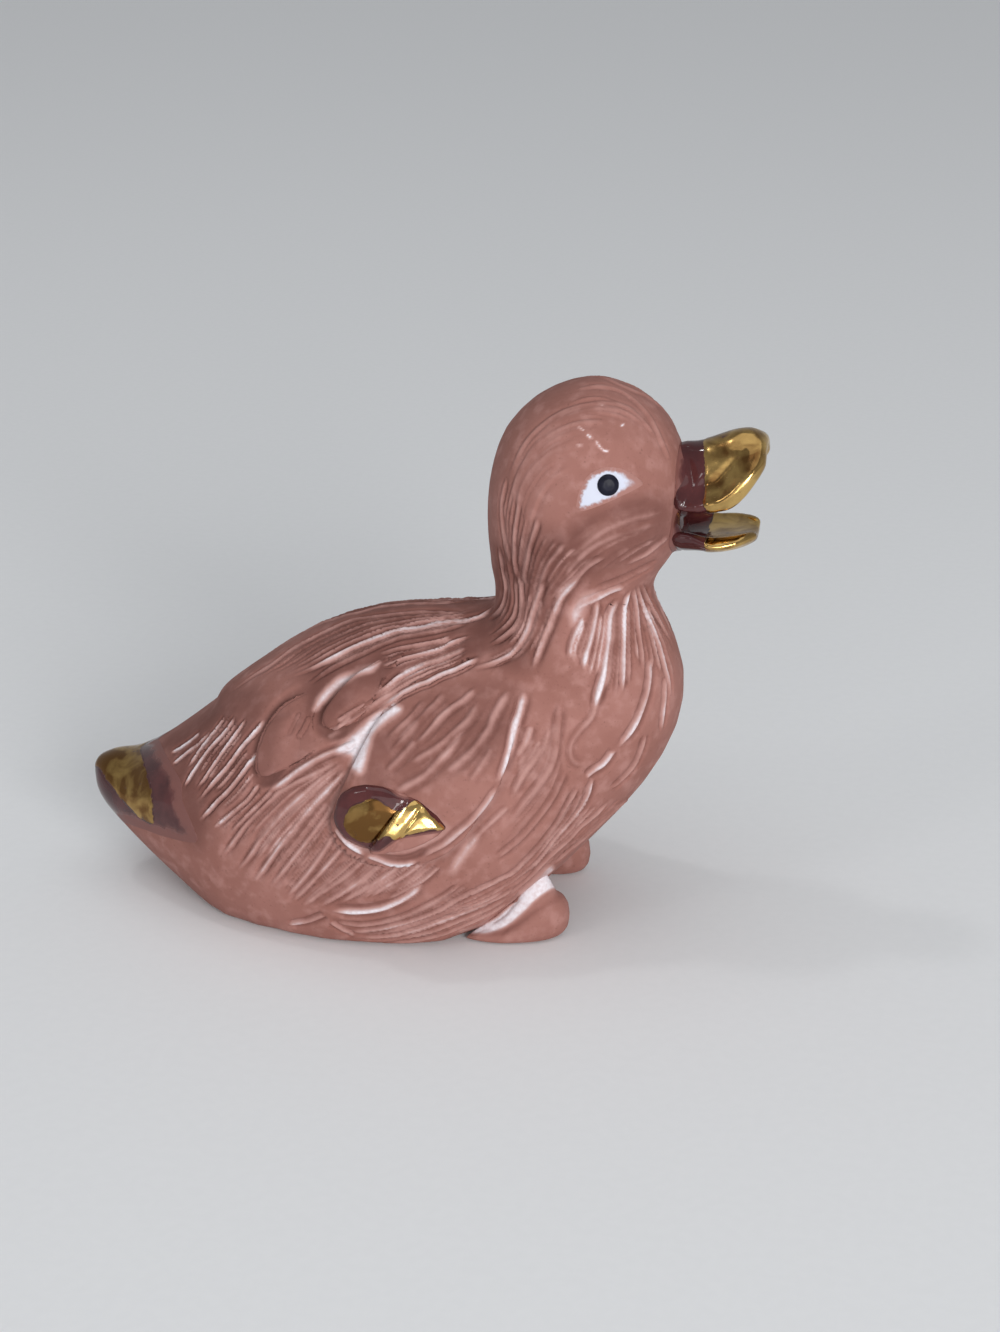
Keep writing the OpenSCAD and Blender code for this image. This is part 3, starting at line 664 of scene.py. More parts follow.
# %% Pressing the skin beside the lumps
# Pressed piece, lump, reach and depth in mm, wash, and the direction in which the crease grows
CREASES = [("skin", "wing", 0.9, 0.25, 0.35, DOWN), ("skin", "front_feather", 1.3, 0.55, 0, BACKWARD),
           ("skin", "rear_feather", 1.3, 0.55, 0, BACKWARD), ("wing", "wing_tip", 0.9, 0.2, 0.5, DOWN),
           ("skin", "wing_tip", 1.6, 0.1, 0.9, DOWN)]


def press(name, lump, reach, deep, white, direction):
    """Sink and whiten the points of a clay piece that lie close to a lump; the sinking is also painted as
    shade.
    """
    points = points_of(carved[name])
    over = points_of(lump)
    edge = reach * MM
    near = np.all((points > over.min(0) - edge) & (points < over.max(0) + edge), axis=1)
    tree = surface_of(lump)
    rows = np.flatnonzero(near)
    growth = share_along(points[rows], direction) ** (3 if direction == BACKWARD else 1)
    for row, grown in zip(rows, growth):
        spot, _, _, distance = tree.find_nearest(Vector(points[row]), edge)
        if spot is not None:
            close = float(eased(1 - distance / edge)) * grown
            depth[name][row] = max(depth[name][row], deep * close)
            wash[name][row] = max(wash[name][row], min(white * close, 1))


for side in SIDES:
    for pressed, kind, *settings in CREASES:
        press(pressed if pressed == "skin" else f"{side}_{pressed}", lumps[f"{side}_{kind}"], *settings)
print("creases on each side:", len(CREASES))

# %% [markdown]
# Wash also stayed in the valley over each foot. The clay is also painted darker, as shade, in patches on the
# upper wing, at the tail's root, on the neck, below the eye and on the back. These are patches with soft
# edges, drawn on the picture like everything else.

# %% Patches of wash and painted shade
# Strength, soft edge in mm, outline
WASHED = [(1.15, 0.9, [(462, 932), (480, 926), (497, 916), (511, 904), (526, 890), (540, 877), (553, 867),
                       (560, 884), (549, 890), (536, 899), (520, 915), (504, 927), (484, 933)]),
          (0.95, 1.4, [(394, 704), (402, 710), (386, 722), (373, 735), (368, 751), (362, 772), (351, 768),
                       (350, 756), (334, 752), (345, 741), (361, 727), (378, 712)]),
          (0.6, 1.4, [(569, 614), (577, 598), (590, 591), (602, 594), (592, 604), (583, 618),
                      (573, 626)]),
          (0.8, 1.1, [(380, 662), (358, 668), (338, 677), (322, 693), (314, 710), (323, 701), (338, 688),
                      (354, 677), (372, 671)]),
          (0.6, 1, [(481, 832), (475, 846), (463, 864), (452, 873), (453, 862), (463, 847), (473, 836)])]
# Painted shade: strength, soft edge in mm, outline
SHADE_PATCHES = [(0.75, 2.5, [(366, 740), (395, 708), (440, 686), (490, 676), (522, 688), (512, 735), (480, 765),
                      (430, 785), (385, 792), (358, 780)]),
         (0.9, 3, [(150, 745), (190, 705), (240, 685), (268, 708), (252, 765), (222, 810), (195, 850),
                   (170, 800)]),
         (0.85, 3, [(495, 545), (560, 530), (575, 570), (555, 620), (530, 670), (490, 665), (480, 610)]),
         (0.8, 3, [(555, 540), (590, 510), (655, 495), (672, 520), (660, 555), (610, 575), (570, 580)]),
         (1, 4, [(300, 650), (380, 605), (480, 600), (500, 630), (470, 665), (380, 690), (310, 720)]),
         (0.4, 3, [(250, 720), (300, 690), (330, 690), (320, 740), (300, 780), (262, 780)])]
# Wash patches are white wash; shade patches only paint the clay darker, as shade
for name, piece in carved.items():
    open_side = facing(piece)
    for marks, patches in ((painted_shade, SHADE_PATCHES), (wash, WASHED)):
        for strength, soft, outline in patches:
            inside = outline_field(outline)(points_of(piece))
            marks[name] = np.maximum(marks[name], strength * eased(inside / soft + 0.5) * open_side)
print("patches of wash:", len(WASHED), "of smoke:", len(SHADE_PATCHES))

# %% [markdown]
# Now the points move. Close to the skin a lump takes the skin's own move, so that no edge of it pokes
# through a groove, and higher up it takes its own. A rag spreads wash beyond the lines, so a blurred haze
# of the wash is kept with them. A blurred haze of the depth is kept too; it only paints the clay darker
# around the lines, as shade.

# %% Sinking the lines and keeping their depth
WASH_HAZE, SHADE_HAZE, HAZE_ROUNDS = 0.2, 0.5, 40
FREE_HEIGHT = 0.3 * MM


def keep(piece, name, values):
    """Store one number per point on a piece, for its material to read."""
    layer = piece.data.attributes.new(name, "FLOAT", "POINT")
    layer.data.foreach_set("value", values.astype(np.float32))


def rubbed(piece, values, rounds):
    """A number per point, averaged with its neighbours over and over, as a rag spreads wash."""
    ends = np.empty(len(piece.data.edges) * 2, np.int32)
    piece.data.edges.foreach_get("vertices", ends)
    a, b = ends.reshape(-1, 2).T
    n = len(values)
    neighbours = np.maximum(np.bincount(a, minlength=n) + np.bincount(b, minlength=n), 1)
    for _ in range(rounds):
        values = (values + (np.bincount(a, values[b], n) + np.bincount(b, values[a], n)) / neighbours) / 2
    return values


# The depth haze is painted shade around the lines; the wash haze is spread wash
haze = {"wash": WASH_HAZE * rubbed(skin, wash["skin"], HAZE_ROUNDS),
        "depth": SHADE_HAZE * rubbed(skin, depth["skin"], HAZE_ROUNDS)}
skin_points, skin_normals = points_of(skin), normals_of(skin)
skin_move = ridge["skin"] - depth["skin"]
for name, piece in carved.items():
    below = [clouds["skin"].find(v.co)[1] for v in piece.data.vertices]
    move = ridge[name] - depth[name]
    if piece is not skin:
        above = np.sum((points_of(piece) - skin_points[below]) * skin_normals[below], axis=1)
        move = skin_move[below] + (move - skin_move[below]) * eased(above / FREE_HEIGHT)
    set_points(piece, points_of(piece) + normals_of(piece) * move[:, None] * MM)
    # Stored depth paints grooves, creases and their haze darker, as shade
    keep(piece, "depth", np.maximum(depth[name], haze["depth"][below]))
    keep(piece, "wash", np.maximum(wash[name], haze["wash"][below]))
    # Painted shade patches, stored for the clay's colour
    keep(piece, "painted_shade", painted_shade[name])

# %% [markdown]
# ## Parting head and trunk
# The carved skin is copied, and each copy is bisected on the throat's plane and filled, so that head and
# trunk are closed pieces again.


# %% Cut on the throat's plane
def parted(name, above):
    """Closed half of the skin above or below the throat."""
    half = placed(name, skin.data.copy())
    pick(half)
    bpy.ops.object.mode_set(mode="EDIT")
    bpy.ops.mesh.select_all(action="SELECT")
    bpy.ops.mesh.bisect(plane_co=nape_edge, plane_no=throat_plane, use_fill=True,
                        clear_inner=above, clear_outer=not above)
    bpy.ops.object.mode_set(mode="OBJECT")
    return half


pick(skin)
bpy.ops.object.shade_smooth()
trunk = parted("trunk_skin", above=False)
head = parted("head_skin", above=True)
print("trunk", len(trunk.data.polygons), "head", len(head.data.polygons))

# %% [markdown]
# ## The bill
# The upper bill is a spoon turned upside down, with dished sides and a rim that flares into a lip, and the
# lower bill is a scoop that opens out into a flat tongue. A subdivision surface rounds their solids first,
# because their few rings would still show through a remesh under mirror gold. The roots are then luted
# into the face, which is pressed in a little between them, where the mouth is. The last shaping is done by
# moving points: the tongue's rim goes down and its keel up, and the upper bill's side is dished.

# %% Bill shapes
BILL_GRAIN = 0.12 * MM
# The fold where the dished side turns out into the lip, closed over the crown
BILL_FOLD = [(680, 512), (706, 505), (725, 499), (745, 480), (757, 464), (762, 445), (764, 430),
             (764, 370), (660, 370)]
MOUTH_LOW, MOUTH_HIGH, MOUTH_HALF = 39.4 * MM, 43.6 * MM, 2.8 * MM
MOUTH_DEPTH, MOUTH_EDGE = 0.8 * MM, 1.4 * MM
FACE_X = 20 * MM

points = points_of(head)
between = eased((points[:, 2] - MOUTH_LOW) / (0.8 * MM)) * eased((MOUTH_HIGH - points[:, 2]) / MM)
mouth = between * eased((MOUTH_HALF - np.abs(points[:, 1])) / MOUTH_EDGE) * (points[:, 0] > FACE_X)
points[:, 0] -= MOUTH_DEPTH * mouth
set_points(head, points)
face_ground = surface_of(head)
bills = {}
for node in ("upper_bill", "lower_bill"):
    bill = applied(welded_copy(f"{node}_clay", node), "SUBSURF", levels=2, render_levels=2)
    patted(bill, BILL_GRAIN, 14)
    bills[node] = laid(bill, face_ground, 0.6 * MM, 0.35 * MM)
    print(node, len(bill.data.polygons), "faces")

# %% Tongue of the lower bill
TONGUE_X, TONGUE_RUN, TONGUE_HALF = 26 * MM, 3 * MM, 4 * MM
TONGUE_SPREAD = 0.14
KEEL_LIFT = 0.45

points = points_of(bills["lower_bill"])
rim_z, keel_z = points[:, 2].max(), points[:, 2].min()
front_share = eased((points[:, 0] - TONGUE_X) / TONGUE_RUN)
side_share = np.clip(np.abs(points[:, 1]) / TONGUE_HALF, 0, 1) ** 2
rim_share = np.clip((points[:, 2] - rim_z) / (0.8 * MM) + 1.1, 0, 1)
keel_lift = KEEL_LIFT * np.clip(keel_z + 0.9 * MM - points[:, 2], 0, None)
points[:, 2] += front_share * (keel_lift + (0.3 - side_share * (0.5 + 0.6 * rim_share)) * MM)
points[:, 1] *= 1 + TONGUE_SPREAD * front_share
set_points(bills["lower_bill"], points)
print("tongue points:", int((front_share > 0).sum()))

# %% Dished side of the upper bill
LIP_OUT, LIP_WIDTH = 0.3, 0.4
DISH_DEPTH, DISH_PLACE, DISH_WIDTH = 0.35, 1.7, 0.9

points = points_of(bills["upper_bill"])
normals = normals_of(bills["upper_bill"])
inside = outline_field(BILL_FOLD)(points)
relief = LIP_OUT * np.exp(-(inside / LIP_WIDTH) ** 2)
relief = relief - DISH_DEPTH * np.exp(-((inside - DISH_PLACE) / DISH_WIDTH) ** 2)
outer = eased((normals[:, 1] * np.sign(points[:, 1]) - 0.1) / 0.4)
points[:, 1] += np.sign(points[:, 1]) * relief * outer * MM
set_points(bills["upper_bill"], points)
applied(bills["upper_bill"], "SMOOTH", factor=0.5, iterations=4)
print("dished by", round(-relief.min(), 2), "mm")

# %% [markdown]
# ## Fired layers
# Glaze, gold and white slip are films with edges of their own, brushed freely over the clay. Each is cut
# from a copy of the surface it covers, along an outline traced on the picture, lifted a hair with a thinning
# edge, and given a back by a solidify modifier. The cut splits every mesh edge that the outline crosses,
# so the film's edge is smooth. One side is cut and mirrored; the tail and bill are cut on both sides at once.

# %% Cutting a film
FAR_OUT = -1.2


def everywhere(points):
    return np.full(len(points), 9.0)


def near_side(field):
    """The same field, kept to the bird's right, which faces the camera."""
    return lambda points: np.minimum(field(points), -points[:, 1] / MM - 1)


def film(name, source, field, lift, thinning, thickness, tone=None):
    """Part of a surface where the field is positive, lifted, thinned at its edge and given a back."""
    mesh = source.data.copy()
    for key in ("depth", "wash", "painted_shade", "cover", "tone"):
        if key in mesh.attributes:
            mesh.attributes.remove(mesh.attributes[key])
    piece = placed(name, mesh)
    points = points_of(piece)
    value = field(points)
    cover = eased(value / thinning)
    rise = lift(points) if callable(lift) else lift
    keep(piece, "cover", cover)
    if tone:
        keep(piece, "tone", tone(points))
    set_points(piece, points + normals_of(piece) * (rise * (0.15 + 0.85 * cover))[:, None])
    work = bmesh.new()
    work.from_mesh(mesh)
    level = dict(zip(work.verts, value))
    bmesh.ops.delete(work, geom=[v for v, far in level.items() if far < FAR_OUT], context="VERTS")
    fresh = []
    for edge in list(work.edges):
        a, b = edge.verts
        if level[a] * level[b] < 0:
            _, middle = bmesh.utils.edge_split(edge, a, level[a] / (level[a] - level[b]))
            level[middle] = 0
            fresh.append(middle)
    bmesh.ops.connect_verts(work, verts=fresh)
    beyond = [f for f in work.faces if sum(level[v] for v in f.verts) < 0]
    bmesh.ops.delete(work, geom=beyond, context="FACES")
    work.to_mesh(mesh)
    work.free()
    return applied(piece, "SOLIDIFY", thickness=thickness, offset=-1)


def mirrored(piece, name):
    """The same piece on the bird's other side."""
    other = placed(name, piece.data.copy())
    pick(other)
    bpy.ops.object.mode_set(mode="EDIT")
    bpy.ops.mesh.select_all(action="SELECT")
    bpy.ops.transform.mirror(constraint_axis=(False, True, False), center_override=(0, 0, 0))
    bpy.ops.mesh.flip_normals()
    bpy.ops.object.mode_set(mode="OBJECT")
    return other


# %% Outlines in picture pixels
TAIL_GLAZE = [(160, 742), (170, 762), (181, 782), (183, 802), (192, 824), (196, 842), (166, 837),
              (140, 828), (112, 822), (60, 840), (50, 740), (120, 700)]
TAIL_GOLD = [(141, 748), (146, 770), (151, 785), (153, 802), (153, 824), (136, 815), (121, 799),
             (108, 783), (97, 768), (70, 770), (60, 730), (130, 715)]
UPPER_GOLD = [(702, 420), (704, 460), (704, 490), (706, 512), (740, 560), (810, 540), (810, 380),
              (710, 390)]
LOWER_GOLD = [(722, 500), (716, 522), (706, 536), (704, 552), (702, 575), (800, 580), (800, 500)]
FACE_GLAZE = [(681, 437), (676, 465), (674, 500), (671, 525), (671, 551), (700, 562), (730, 540),
              (730, 440)]
TIP_GLAZE = [(333, 812), (338, 796), (346, 787), (360, 783), (384, 786), (402, 796), (425, 800),
             (447, 815), (452, 824), (446, 831), (418, 836), (398, 840), (378, 852), (360, 846),
             (342, 836), (333, 822)]
TIP_GOLD = [(343, 822), (350, 807), (363, 801), (376, 798), (386, 804), (393, 810), (400, 810),
            (406, 805), (412, 801), (419, 802), (428, 812), (445, 828), (441, 830), (416, 833),
            (402, 838), (394, 840), (386, 837), (377, 841), (367, 843), (357, 841), (346, 831)]
EYE_WHITE = [(576, 507), (579, 492), (587, 477), (597, 470), (610, 467), (625, 470), (638, 478),
             (643, 484), (634, 490), (624, 495), (611, 501), (596, 507), (582, 511)]

# The pixel column of the eye's front corner, and over how many the slip thins towards it
EYE_CORNER, EYE_FADE = 640, 50

# %% Glaze, gold and slip
GLAZE_LIFT, THIN_GLAZE_LIFT = 0.2 * MM, 0.12 * MM
GOLD_LIFT, SLIP_LIFT = 0.07 * MM, 0.07 * MM
GLAZE_BACK, GOLD_BACK = 0.1 * MM, 0.06 * MM
TIP_GLAZE_LIFT = 0.16 * MM
GOLD_EDGE = 0.35
FILLET_RISE, FILLET_REACH = 0.6 * MM, 1.3 * MM
films = {}


def even(tone):
    return lambda points: np.full(len(points), tone)


def gilded(name, ground, outline, tone):
    films[name] = film(f"{name}_film", ground, outline_field(outline), GOLD_LIFT, GOLD_EDGE,
                       GOLD_BACK, tone)


def painted_lip_highlight(points):
    """Painted highlight: the gold is painted brightest on the lip outside the upper bill's fold."""
    return 0.3 + 0.55 * eased(0.5 - outline_field(BILL_FOLD)(points) / 0.8)


def up_to_the_bill(points):
    """Lift of the glaze on the face: it climbs into a fillet beside the bill."""
    rise = np.full(len(points), THIN_GLAZE_LIFT)
    for row in np.flatnonzero(points[:, 0] > 22 * MM):
        gap = min(tree.find_nearest(Vector(points[row]))[3] for tree in bill_trees)
        rise[row] += FILLET_RISE * float(eased(1 - gap / FILLET_REACH)) ** 2
    return rise


bill_trees = [surface_of(bill) for bill in bills.values()]
tail_field = outline_field(TAIL_GLAZE)
films["tail_glaze"] = film("tail_glaze_film", trunk, tail_field, THIN_GLAZE_LIFT, 2, GLAZE_BACK)
# Painted shade: the tail's gold gets a low tone and is painted dark
gilded("tail_gold", films["tail_glaze"], TAIL_GOLD, even(0.15))
# Painted highlight on the upper bill's lip; a middle painted brightness for the lower bill's gold
for node, outline, tone in (("upper_bill", UPPER_GOLD, painted_lip_highlight),
                            ("lower_bill", LOWER_GOLD, even(0.6))):
    films[f"{node}_glaze"] = film(f"{node}_glaze_film", bills[node], everywhere, GLAZE_LIFT, 1, GLAZE_BACK)
    gilded(f"{node}_gold", films[f"{node}_glaze"], outline, tone)
face_film = film("face_glaze_film", head, outline_field(FACE_GLAZE), up_to_the_bill, 0.6, GLAZE_BACK)
pick(films["upper_bill_glaze"])
face_film.select_set(True)
bpy.ops.object.join()

tip_glaze = film("right_wing_tip_glaze_film", lumps["right_wing_tip"], near_side(outline_field(TIP_GLAZE)),
                 TIP_GLAZE_LIFT, 0.4, GLAZE_BACK)
# Painted highlight and shade: the tip's gold is painted bright on the front feather end, dark on the rear one
tip_gold = film("right_wing_tip_gold_film", tip_glaze, near_side(outline_field(TIP_GOLD)), GOLD_LIFT,
                GOLD_EDGE, GOLD_BACK, lambda points: eased(beside(pixels_of(points), *TIP_FOLD) / 8 + 0.5))
eye_white = film("right_eye_white_film", head, near_side(outline_field(EYE_WHITE)), SLIP_LIFT, 1, GOLD_BACK,
                 lambda points: eased((EYE_CORNER - pixels_of(points)[:, 0]) / EYE_FADE))
for node, piece in (("wing_tip_glaze", tip_glaze), ("wing_tip_gold", tip_gold), ("eye_white", eye_white)):
    films[f"right_{node}"] = piece
    films[f"left_{node}"] = mirrored(piece, f"left_{node}_film")

# %% [markdown]
# ## Pupils
# A pupil is a bead of thick black glaze, flattened by its own weight, with a dimple where the brush lifted
# off. A sphere is squashed, its top faces are inset and pushed in, and a subdivision surface rounds it.

# %% Pupils
PUPIL = (608, 485)
PUPIL_RADIUS = 1.0 * MM
PUPIL_FLATNESS = 0.42
spot, outward, _, _ = face_ground.ray_cast(EYE, ray_through(PUPIL))
bpy.ops.mesh.primitive_uv_sphere_add(segments=24, ring_count=12, radius=PUPIL_RADIUS)
pupil = bpy.context.object
pupil.name = "right_pupil_bead"
bpy.ops.object.mode_set(mode="EDIT")
bpy.ops.mesh.select_all(action="SELECT")
bpy.ops.transform.resize(value=(1, 1, PUPIL_FLATNESS))
bpy.ops.mesh.select_all(action="DESELECT")
bpy.ops.object.mode_set(mode="OBJECT")
for face in pupil.data.polygons:
    face.select = face.center.z > 0.85 * PUPIL_FLATNESS * PUPIL_RADIUS
bpy.ops.object.mode_set(mode="EDIT")
bpy.ops.mesh.inset(thickness=0.1 * PUPIL_RADIUS)
bpy.ops.transform.translate(value=(0.02 * MM, 0, -0.03 * MM))
bpy.ops.object.mode_set(mode="OBJECT")
applied(pupil, "SUBSURF", levels=1, render_levels=1)
pupil.rotation_euler = outward.to_track_quat("Z", "Y").to_euler()
pupil.location = spot + outward * 0.05 * MM
bpy.ops.object.transform_apply(location=True, rotation=True, scale=True)
films["right_pupil"], films["left_pupil"] = pupil, mirrored(pupil, "left_pupil_bead")
for node, piece in films.items():
    print(node, len(piece.data.polygons), "faces")


# %% [markdown]
# ## Finishes
# Each finish is a small tree of nodes that reads the piece's own coordinates and the numbers stored while
# it was made. A few helpers keep the trees short.

# %% Node helpers
class Finish:
    """A material and short ways to add nodes to it."""

    def __init__(self, name, rough, metal=0.0, shine=0.5):
        self.material = bpy.data.materials.new(name)
        self.material.use_nodes = True
        self.nodes = self.material.node_tree.nodes
        self.links = self.material.node_tree.links
        self.main = self.nodes["Principled BSDF"]
        self.main.inputs["Roughness"].default_value = rough
        self.main.inputs["Metallic"].default_value = metal
        self.main.inputs["Specular IOR Level"].default_value = shine
        self.place = self.nodes.new("ShaderNodeTexCoord").outputs["Object"]

    def noise(self, scale, detail=4, warp=0.0):
        node = self.nodes.new("ShaderNodeTexNoise")
        node.inputs["Scale"].default_value = scale
        node.inputs["Detail"].default_value = detail
        node.inputs["Distortion"].default_value = warp
        self.links.new(self.place, node.inputs["Vector"])
        return node.outputs["Fac"]

    def stored(self, name):
        node = self.nodes.new("ShaderNodeAttribute")
        node.attribute_name = name
        return node.outputs["Fac"]

    def ranged(self, value, low, high, to_low=0.0, to_high=1.0):
        node = self.nodes.new("ShaderNodeMapRange")
        node.interpolation_type = "SMOOTHSTEP"
        for key, number in zip(("From Min", "From Max", "To Min", "To Max"), (low, high, to_low, to_high)):
            node.inputs[key].default_value = number
        self.links.new(value, node.inputs["Value"])
        return node.outputs["Result"]

    def math(self, operation, a, b):
        node = self.nodes.new("ShaderNodeMath")
        node.operation = operation
        for socket, value in zip(node.inputs, (a, b)):
            if isinstance(value, (int, float)):
                socket.default_value = value
            else:
                self.links.new(value, socket)
        return node.outputs[0]

    def mixed(self, share, first, second):
        node = self.nodes.new("ShaderNodeMix")
        node.data_type = "RGBA"
        self.links.new(share, node.inputs["Factor"])
        for socket, value in zip((node.inputs[6], node.inputs[7]), (first, second)):
            if isinstance(value, tuple):
                socket.default_value = (*value, 1)
            else:
                self.links.new(value, socket)
        return node.outputs[2]

    def bump(self, height, distance, strength):
        node = self.nodes.new("ShaderNodeBump")
        node.inputs["Strength"].default_value = strength
        node.inputs["Distance"].default_value = distance
        self.links.new(height, node.inputs["Height"])
        self.links.new(node.outputs["Normal"], self.main.inputs["Normal"])

    def paint(self, **sockets):
        for key, value in sockets.items():
            self.links.new(value, self.main.inputs[key.replace("_", " ")])
        return self.material


# %% [markdown]
# Fired terracotta is dull and slightly dusty. The colour wanders from place to place and fine dark specks
# show its grain. Cut lines, creases and a haze around them are painted darker by their depth, as shade, and
# so are the drawn shade patches. The white wash sits in the lines where the rag didn't reach, broken up by
# the clay's grain.

# %% Clay
CLAY = (0.32, 0.145, 0.12)
CLAY_PALE = (0.43, 0.222, 0.195)
CLAY_DARK = (0.262, 0.11, 0.088)
# Dark clay for specks of grain, and for painted shade in grooves, creases and shade patches
CLAY_SPECK_AND_SHADE = (0.135, 0.05, 0.04)
CLAY_RUBBED = (0.44, 0.24, 0.212)
WASH = (0.76, 0.71, 0.75)


def clay_finish():
    clay = Finish("washed_terracotta", rough=0.82, shine=0.3)
    colour = clay.mixed(clay.ranged(clay.noise(140, 5), 0.3, 0.7), CLAY_DARK, CLAY)
    colour = clay.mixed(clay.ranged(clay.noise(700, 4), 0.45, 0.75, 0, 0.55), colour, CLAY_PALE)
    colour = clay.mixed(clay.ranged(clay.noise(3200, 2), 0.6, 0.8, 0, 0.4), colour, CLAY_SPECK_AND_SHADE)
    # Painted shade: grooves, creases and their haze darker by their stored depth
    colour = clay.mixed(clay.ranged(clay.stored("depth"), 0.04, 0.4, 0, 0.6), colour, CLAY_SPECK_AND_SHADE)
    # Painted shade: the drawn shade patches, broken up by noise
    shade_share = clay.math("MULTIPLY", clay.stored("painted_shade"), clay.ranged(clay.noise(220, 4), 0.3, 0.7, 0.5, 0.9))
    colour = clay.mixed(shade_share, colour, CLAY_SPECK_AND_SHADE)
    worn = clay.math("MULTIPLY", clay.ranged(clay.noise(520, 6), 0.3, 0.7), 0.2)
    grainy = clay.ranged(clay.noise(2400, 3), 0.3, 0.65, 0.7, 1)
    left = clay.math("SUBTRACT", clay.math("MULTIPLY", clay.stored("wash"), 1.2), worn)
    colour = clay.mixed(clay.ranged(left, -0.05, 0.5), colour, CLAY_RUBBED)
    colour = clay.mixed(clay.math("MULTIPLY", clay.ranged(left, 0.35, 1.05), grainy), colour, WASH)
    clay.bump(clay.noise(2600, 4), 0.05 * MM, 0.3)
    return clay.paint(Base_Color=colour)


# %% [markdown]
# The glaze is a glossy maroon that turns brown and dull where it thins out. The gold lustre on it is a
# mirror, a little wavy, with olive and brown clouds, and pits and a worn edge where the glaze shows through.
# Each gold film's stored tone paints it lighter or darker, as painted highlight and shade: bright on the
# upper bill's lip and the wing tip's front feather, dark on the tail.

# %% Glaze, gold, slip and pupil
MAROON, MAROON_LIGHT, MAROON_THIN = (0.05, 0.012, 0.013), (0.088, 0.022, 0.022), (0.2, 0.075, 0.062)
# Gold colours, mixed by random clouds and by the stored tone, which paints highlight and shade
GOLD_DARK, GOLD_LIGHT = (0.2, 0.098, 0.032), (0.68, 0.45, 0.16)
SLIP, SLIP_THIN = (0.58, 0.6, 0.7), (0.34, 0.165, 0.14)
BLACK, BLACK_BLUE = (0.006, 0.006, 0.01), (0.02, 0.02, 0.035)


def glaze_finish():
    glaze = Finish("maroon_glaze", rough=0.1)
    colour = glaze.mixed(glaze.ranged(glaze.noise(380, 5), 0.35, 0.7), MAROON, MAROON_LIGHT)
    thin = glaze.math("SUBTRACT", glaze.stored("cover"), glaze.ranged(glaze.noise(650, 4), 0.3, 0.7, 0, 0.35))
    colour = glaze.mixed(glaze.ranged(thin, 0.0, 0.6, 0.85, 0), colour, MAROON_THIN)
    rough = glaze.ranged(thin, 0, 0.5, 0.5, 0.06)
    glaze.bump(glaze.noise(300, 2), 0.06 * MM, 0.3)
    return glaze.paint(Base_Color=colour, Roughness=rough)


def gold_finish():
    gold = Finish("gold_lustre", rough=0.15, metal=1.0)
    cloud = gold.ranged(gold.noise(420, 5, 0.6), 0.3, 0.7, -0.4, 0.45)
    # Painted highlight and shade from the stored tone, plus random clouds
    colour = gold.mixed(gold.math("ADD", gold.stored("tone"), cloud), GOLD_DARK, GOLD_LIGHT)
    pits = gold.ranged(gold.noise(1500, 4), 0.66, 0.72)
    edge = gold.math("ADD", gold.stored("cover"), gold.ranged(gold.noise(900, 4), 0.35, 0.65, -0.3, 0.3))
    worn = gold.math("MAXIMUM", pits, gold.ranged(edge, 0.05, 0.35, 1, 0))
    colour = gold.mixed(worn, colour, MAROON)
    metal = gold.math("SUBTRACT", 1, worn)
    rough = gold.ranged(gold.noise(500, 5), 0.3, 0.7, 0.1, 0.26)
    gold.bump(gold.noise(420, 3), 0.12 * MM, 0.4)
    return gold.paint(Base_Color=colour, Metallic=metal, Roughness=rough)


def slip_finish():
    slip = Finish("white_slip", rough=0.75, shine=0.3)
    brushed = slip.math("ADD", slip.stored("cover"), slip.ranged(slip.noise(2600, 3), 0.3, 0.7, -0.18, 0.12))
    brushed = slip.math("MULTIPLY", brushed, slip.ranged(slip.stored("tone"), 0, 0.6, 0.35, 1))
    colour = slip.mixed(slip.ranged(brushed, 0.08, 0.6), SLIP_THIN, SLIP)
    slip.bump(slip.noise(2600, 4), 0.04 * MM, 0.3)
    return slip.paint(Base_Color=colour)


def pupil_finish():
    bead = Finish("black_glaze", rough=0.3, shine=0.08)
    colour = bead.mixed(bead.noise(1500, 3), BLACK, BLACK_BLUE)
    bead.bump(bead.noise(900, 2), 0.05 * MM, 0.4)
    return bead.paint(Base_Color=colour)


FINISHES = {"clay": clay_finish(), "glaze": glaze_finish(), "gold": gold_finish(),
            "white_slip": slip_finish(), "pupil": pupil_finish()}


# %% [markdown]
# ## Trunk, shading and finishes
# The trunk has more triangles than a library part should carry, so a decimate modifier takes out the ones
# that its flat places can spare. A cut edge would also shade differently on its two sides, so head and
# trunk take their normals next to the throat's cut from the uncut skin. Faces that rest on the ground are
# shaded flat.

# %% Lighter trunk
TRUNK_SHARE = 0.66
CUT_REACH = 4 * GRAIN

spare = trunk.vertex_groups.new(name="spare")
spare.add([v.index for v in trunk.data.vertices if abs(over_throat(v.co)) > CUT_REACH], 1, "REPLACE")
applied(trunk, "DECIMATE", ratio=TRUNK_SHARE, vertex_group="spare")
trunk.vertex_groups.clear()
print("trunk triangles:", sum(len(face.vertices) - 2 for face in trunk.data.polygons))

# %% Even shading
CREASE_ANGLE = math.radians(60)
RESTING_LOOK, RESTING_HEIGHT = -0.98, 0.02 * MM


def shaded(piece):
    """Smooth shading, with the face that the piece rests on left flat."""
    pick(piece)
    bpy.ops.object.shade_smooth_by_angle(angle=CREASE_ANGLE)
    for face in piece.data.polygons:
        if face.normal.z < RESTING_LOOK and face.center.z < RESTING_HEIGHT:
            face.use_smooth = False


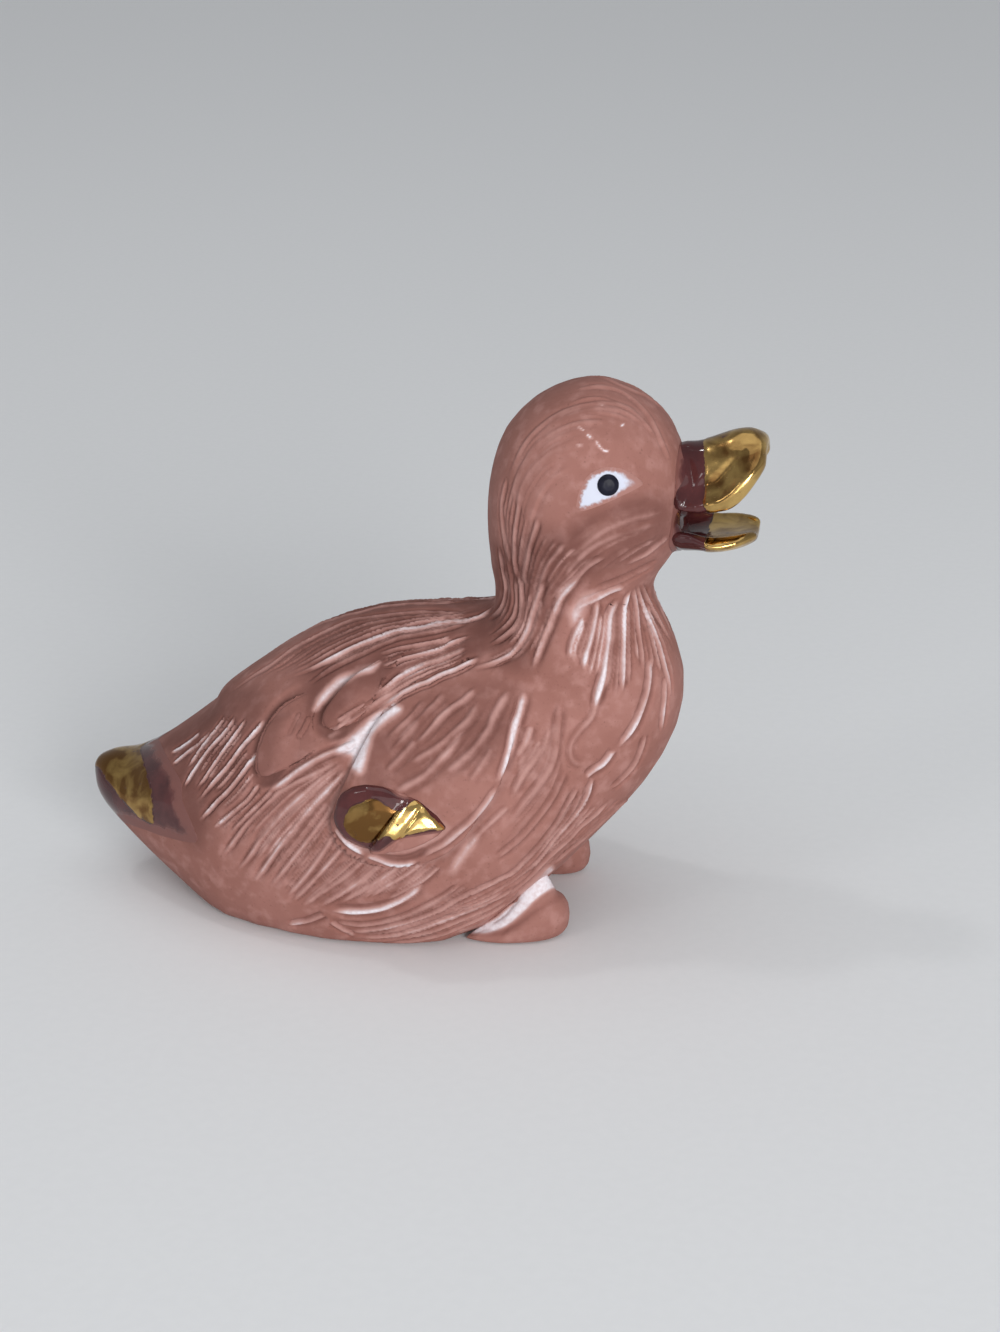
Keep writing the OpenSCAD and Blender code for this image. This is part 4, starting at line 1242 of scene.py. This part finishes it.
for half in (trunk, head):
    shaded(half)
    rows = [v.index for v in half.data.vertices if abs(over_throat(v.co)) < CUT_REACH]
    half.vertex_groups.new(name="beside_cut").add(rows, 1, "REPLACE")
    applied(half, "DATA_TRANSFER", object=skin, use_loop_data=True, data_types_loops={"CUSTOM_NORMAL"},
            loop_mapping="POLYINTERP_NEAREST", vertex_group="beside_cut")
    half.vertex_groups.clear()
    print(half.name, "points beside the cut:", len(rows))


# %% Finishing the pieces
def finished(piece, slot, node):
    """Smooth shading, the finish, and what the piece stands for."""
    if piece not in (trunk, head):
        shaded(piece)
    piece.data.materials.clear()
    piece.data.materials.append(FINISHES[slot])
    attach(piece, "root")
    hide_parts(node)


bpy.data.objects.remove(skin)
for node, piece in {"body": trunk, "head": head, **bills, **lumps}.items():
    finished(piece, "clay", node)
for node, piece in films.items():
    finished(piece, next(slot for slot in FINISHES if node.split("_")[-1] in slot), node)
print("clay pieces:", 2 + len(bills) + len(lumps), "fired layers:", len(films))

# %% [markdown]
# ## Floor and light
# A plain pale floor, a soft window high on the right, a wide card in front and a weak ceiling light. A low
# card makes the wing tip's gold flash and two small lamps put glints on the glaze. The sky is brightest at
# the horizon, so that gold has both dark and bright things to mirror.

# %% Floor, lamps and sky
bpy.ops.mesh.primitive_plane_add(size=12)
floor = bpy.context.object
floor.name = "floor"
pale = Finish("pale_floor", rough=0.9, shine=0.2)
speckle = pale.ranged(pale.noise(900, 3), 0.3, 0.7)
colour = pale.mixed(speckle, (0.795, 0.805, 0.82), (0.805, 0.815, 0.83))
floor.data.materials.append(pale.paint(Base_Color=colour))


BIRD_MIDDLE = Vector((0, 0, 0.025))


def aimed(kind, name, place, power):
    """Lamp at a place, turned to the bird."""
    bpy.ops.object.light_add(type=kind, location=place)
    light = bpy.context.object
    light.name = name
    light.data.energy = power
    light.rotation_euler = (BIRD_MIDDLE - Vector(place)).to_track_quat("-Z", "Y").to_euler()
    return light.data


aimed("AREA", "window", (0.4, -0.65, 0.24), 3.9).size = 0.3
aimed("AREA", "front", (0.1, -0.9, 0.14), 1.6).size = 0.8
aimed("AREA", "low card", (0.12, -0.6, 0.06), 0.2).size = 0.11
aimed("AREA", "glint", (-0.25, 0.02, 0.65), 0.25).size = 0.05
aimed("AREA", "side glint", (-0.37, -0.445, 0.4), 0.2).size = 0.12
aimed("SUN", "ceiling", (0.05, -0.1, 1), 0.5).angle = math.radians(60)
world = bpy.data.worlds.new("studio")
world.use_nodes = True
sky = world.node_tree
rise = sky.nodes.new("ShaderNodeSeparateXYZ")
sky.links.new(sky.nodes.new("ShaderNodeTexCoord").outputs["Generated"], rise.inputs["Vector"])
ramp = sky.nodes.new("ShaderNodeMapRange")
for key, number in zip(("From Min", "From Max", "To Min", "To Max"), (-0.1, 0.9, 0.46, 0.3)):
    ramp.inputs[key].default_value = number
sky.links.new(rise.outputs["Z"], ramp.inputs["Value"])
sky.nodes["Background"].inputs["Color"].default_value = (0.95, 0.975, 1, 1)
sky.links.new(ramp.outputs["Result"], sky.nodes["Background"].inputs["Strength"])
bpy.context.scene.world = world
bpy.context.scene.view_settings.view_transform = "Standard"
